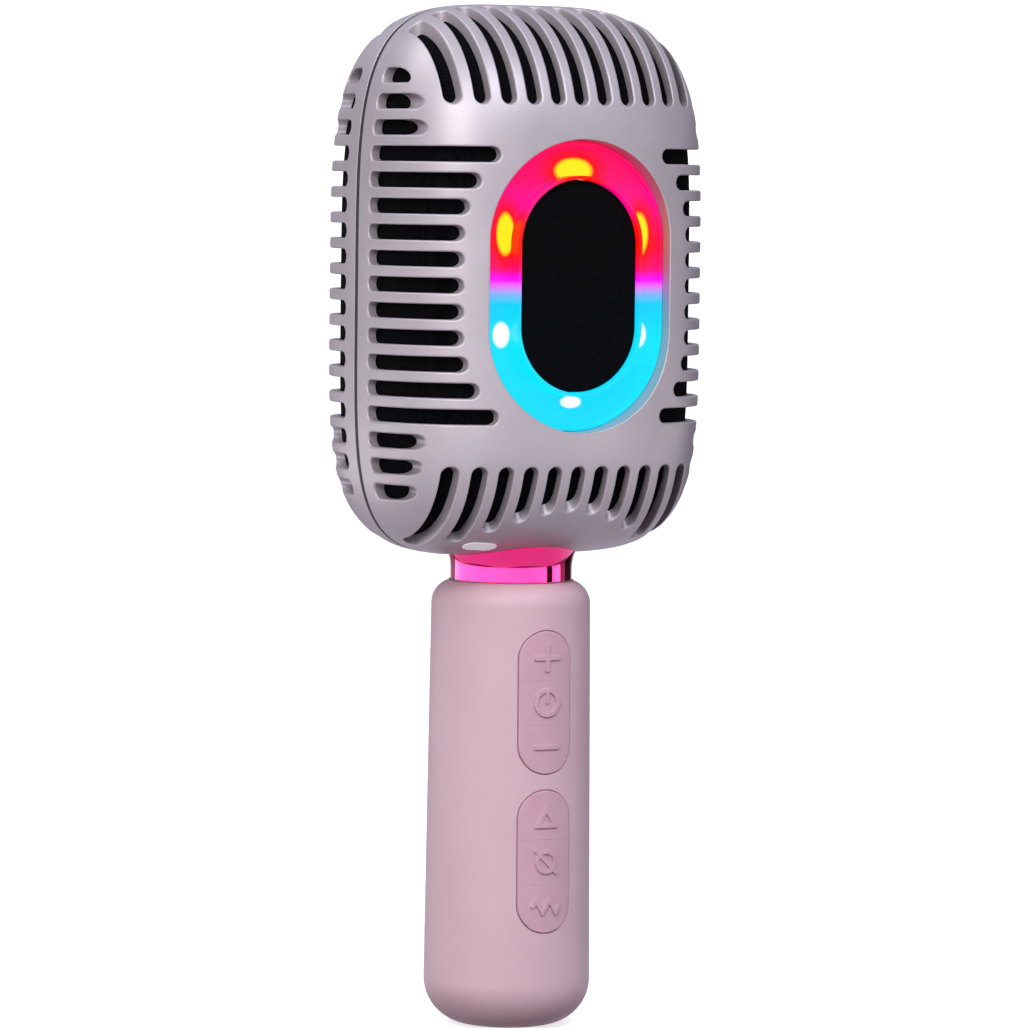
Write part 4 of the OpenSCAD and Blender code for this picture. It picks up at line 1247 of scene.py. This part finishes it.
def make_camera():
    """Stands at the photograph's viewing angle: from the front left, a little above the neck."""
    data = bpy.data.cameras.new("camera")
    data.lens, data.sensor_width = 189.7, 36.0
    camera = bpy.data.objects.new("camera", data)
    bpy.context.scene.collection.objects.link(camera)
    spot, aim = Vector((-0.566, -1.112, 0.197)), Vector((0, 0, 0.118))
    camera.location = spot
    turn = (aim - spot).to_track_quat("-Z", "Y").to_matrix().to_4x4()
    camera.matrix_world = Matrix.Translation(spot) @ turn @ Matrix.Rotation(math.radians(CAMERA_ROLL), 4, "Z")
    data.shift_x = CAMERA_SHIFT
    bpy.context.scene.camera = camera


def soft_light(name, place, aim, width, height, watts, colour):
    data = bpy.data.lights.new(name, "AREA")
    data.shape = "RECTANGLE"
    data.size, data.size_y = width, height
    data.energy, data.color = watts, colour
    lamp_object = bpy.data.objects.new(name, data)
    bpy.context.scene.collection.objects.link(lamp_object)
    lamp_object.location = place
    lamp_object.rotation_euler = (Vector(aim) - Vector(place)).to_track_quat("-Z", "Y").to_euler()


def card(name, place, aim, width, height, look):
    """A plain panel that only reflections see."""
    mesh = bpy.data.meshes.new(name)
    x, y = width / 2, height / 2
    mesh.from_pydata([(-x, -y, 0), (x, -y, 0), (x, y, 0), (-x, y, 0)], [], [(0, 1, 2, 3)])
    mesh.materials.append(look)
    panel = bpy.data.objects.new(name, mesh)
    bpy.context.scene.collection.objects.link(panel)
    panel.location = place
    panel.rotation_euler = (Vector(aim) - Vector(place)).to_track_quat("Z", "Y").to_euler()
    panel.visible_camera = panel.visible_diffuse = panel.visible_shadow = False


WHITE_TONES, PAPER_ROUGH = ((250, 250, 250), (252, 252, 252)), (0.8, 0.9)


def make_studio():
    """A white floor and backdrop, panels for the plated neck to mirror, a sky gradient and soft lamps."""
    world = bpy.data.worlds.new("studio")
    world.use_nodes = True
    tree = world.node_tree
    direction = tree.nodes.new("ShaderNodeTexCoord").outputs["Generated"]
    height = tree.nodes.new("ShaderNodeSeparateXYZ")
    tree.links.new(direction, height.inputs[0])
    shift = tree.nodes.new("ShaderNodeMath")
    shift.operation = "MULTIPLY_ADD"
    shift.inputs[1].default_value = shift.inputs[2].default_value = 0.5
    tree.links.new(height.outputs["Z"], shift.inputs[0])
    ramp = tree.nodes.new("ShaderNodeValToRGB")
    points = ramp.color_ramp.elements
    points.new(0.5)
    sky = ((0.2, (0.10, 0.07, 0.09, 1)), (0.5, (0.38, 0.36, 0.39, 1)), (0.85, (0.42, 0.45, 0.58, 1)))
    for point, (at, colour) in zip(points, sky):
        point.position = at
        point.color = colour
    tree.links.new(shift.outputs[0], ramp.inputs["Fac"])
    tree.links.new(ramp.outputs["Color"], tree.nodes["Background"].inputs["Color"])
    bpy.context.scene.world = world
    bpy.context.scene.view_settings.view_transform = "Standard"

    floor_look = mottled("floor_paper", (246, 246, 247), (250, 250, 251), 90.0, PAPER_ROUGH, 0.002,
                         Emission_Strength=0.66)
    bpy.ops.mesh.primitive_circle_add(vertices=96, radius=9.0, fill_type="NGON", location=(0, 0, -0.0002))
    floor = bpy.context.active_object
    floor.name = "floor"
    floor.data.materials.append(floor_look)
    floor.visible_diffuse = floor.visible_glossy = False

    white = mottled("white_paper", *WHITE_TONES, 90.0, PAPER_ROUGH, 0.002, Emission_Strength=1.0)
    bpy.ops.mesh.primitive_uv_sphere_add(segments=48, ring_count=24, radius=9.0)
    dome = bpy.context.active_object
    dome.name = "backdrop"
    dome.data.materials.append(white)
    dome.visible_diffuse = dome.visible_glossy = dome.visible_shadow = dome.visible_transmission = False

    dark = mottled("dark_card", (20, 20, 22), (26, 26, 28), 50.0, PAPER_ROUGH, 0.001)
    bright = mottled("bright_card", *WHITE_TONES, 50.0, PAPER_ROUGH, 0.001, Emission_Strength=2.6)
    card("flag_right", (0.33, -0.27, 0.12), (0, 0, 0.11), 0.10, 0.30, dark)
    card("flag_side", (0.50, 0.20, 0.12), (0, 0, 0.11), 0.30, 0.34, dark)
    for turn in range(-150, 90, 20):
        place = (0.6 * math.sin(math.radians(turn)), -0.6 * math.cos(math.radians(turn)), 0.02)
        card(f"shine_{turn + 150}", place, (0, 0, 0.02), 0.212, 0.13, bright)
    dim = mottled("dim_card", *WHITE_TONES, 50.0, PAPER_ROUGH, 0.001, Emission_Strength=0.45,
                  Emission_Color=(1, 0.9, 0.95, 1))
    card("under", (0, 0, -0.01), (0, 0, 0.1), 0.7, 0.7, dim)
    soft_light("key", (-0.74, -0.74, 0.68), (0, 0, 0.16), 0.5, 0.5, 8.0, (1.0, 0.985, 0.95))
    soft_light("cool", (0.0, -0.80, 0.95), (0, 0, 0.19), 0.4, 0.4, 5.5, (0.84, 0.91, 1.0))
    soft_light("top", (-0.5, 0.2, 0.80), (0, 0, 0.17), 0.4, 0.4, 2.0, (0.95, 0.97, 1.0))


assemble()
make_camera()
make_studio()
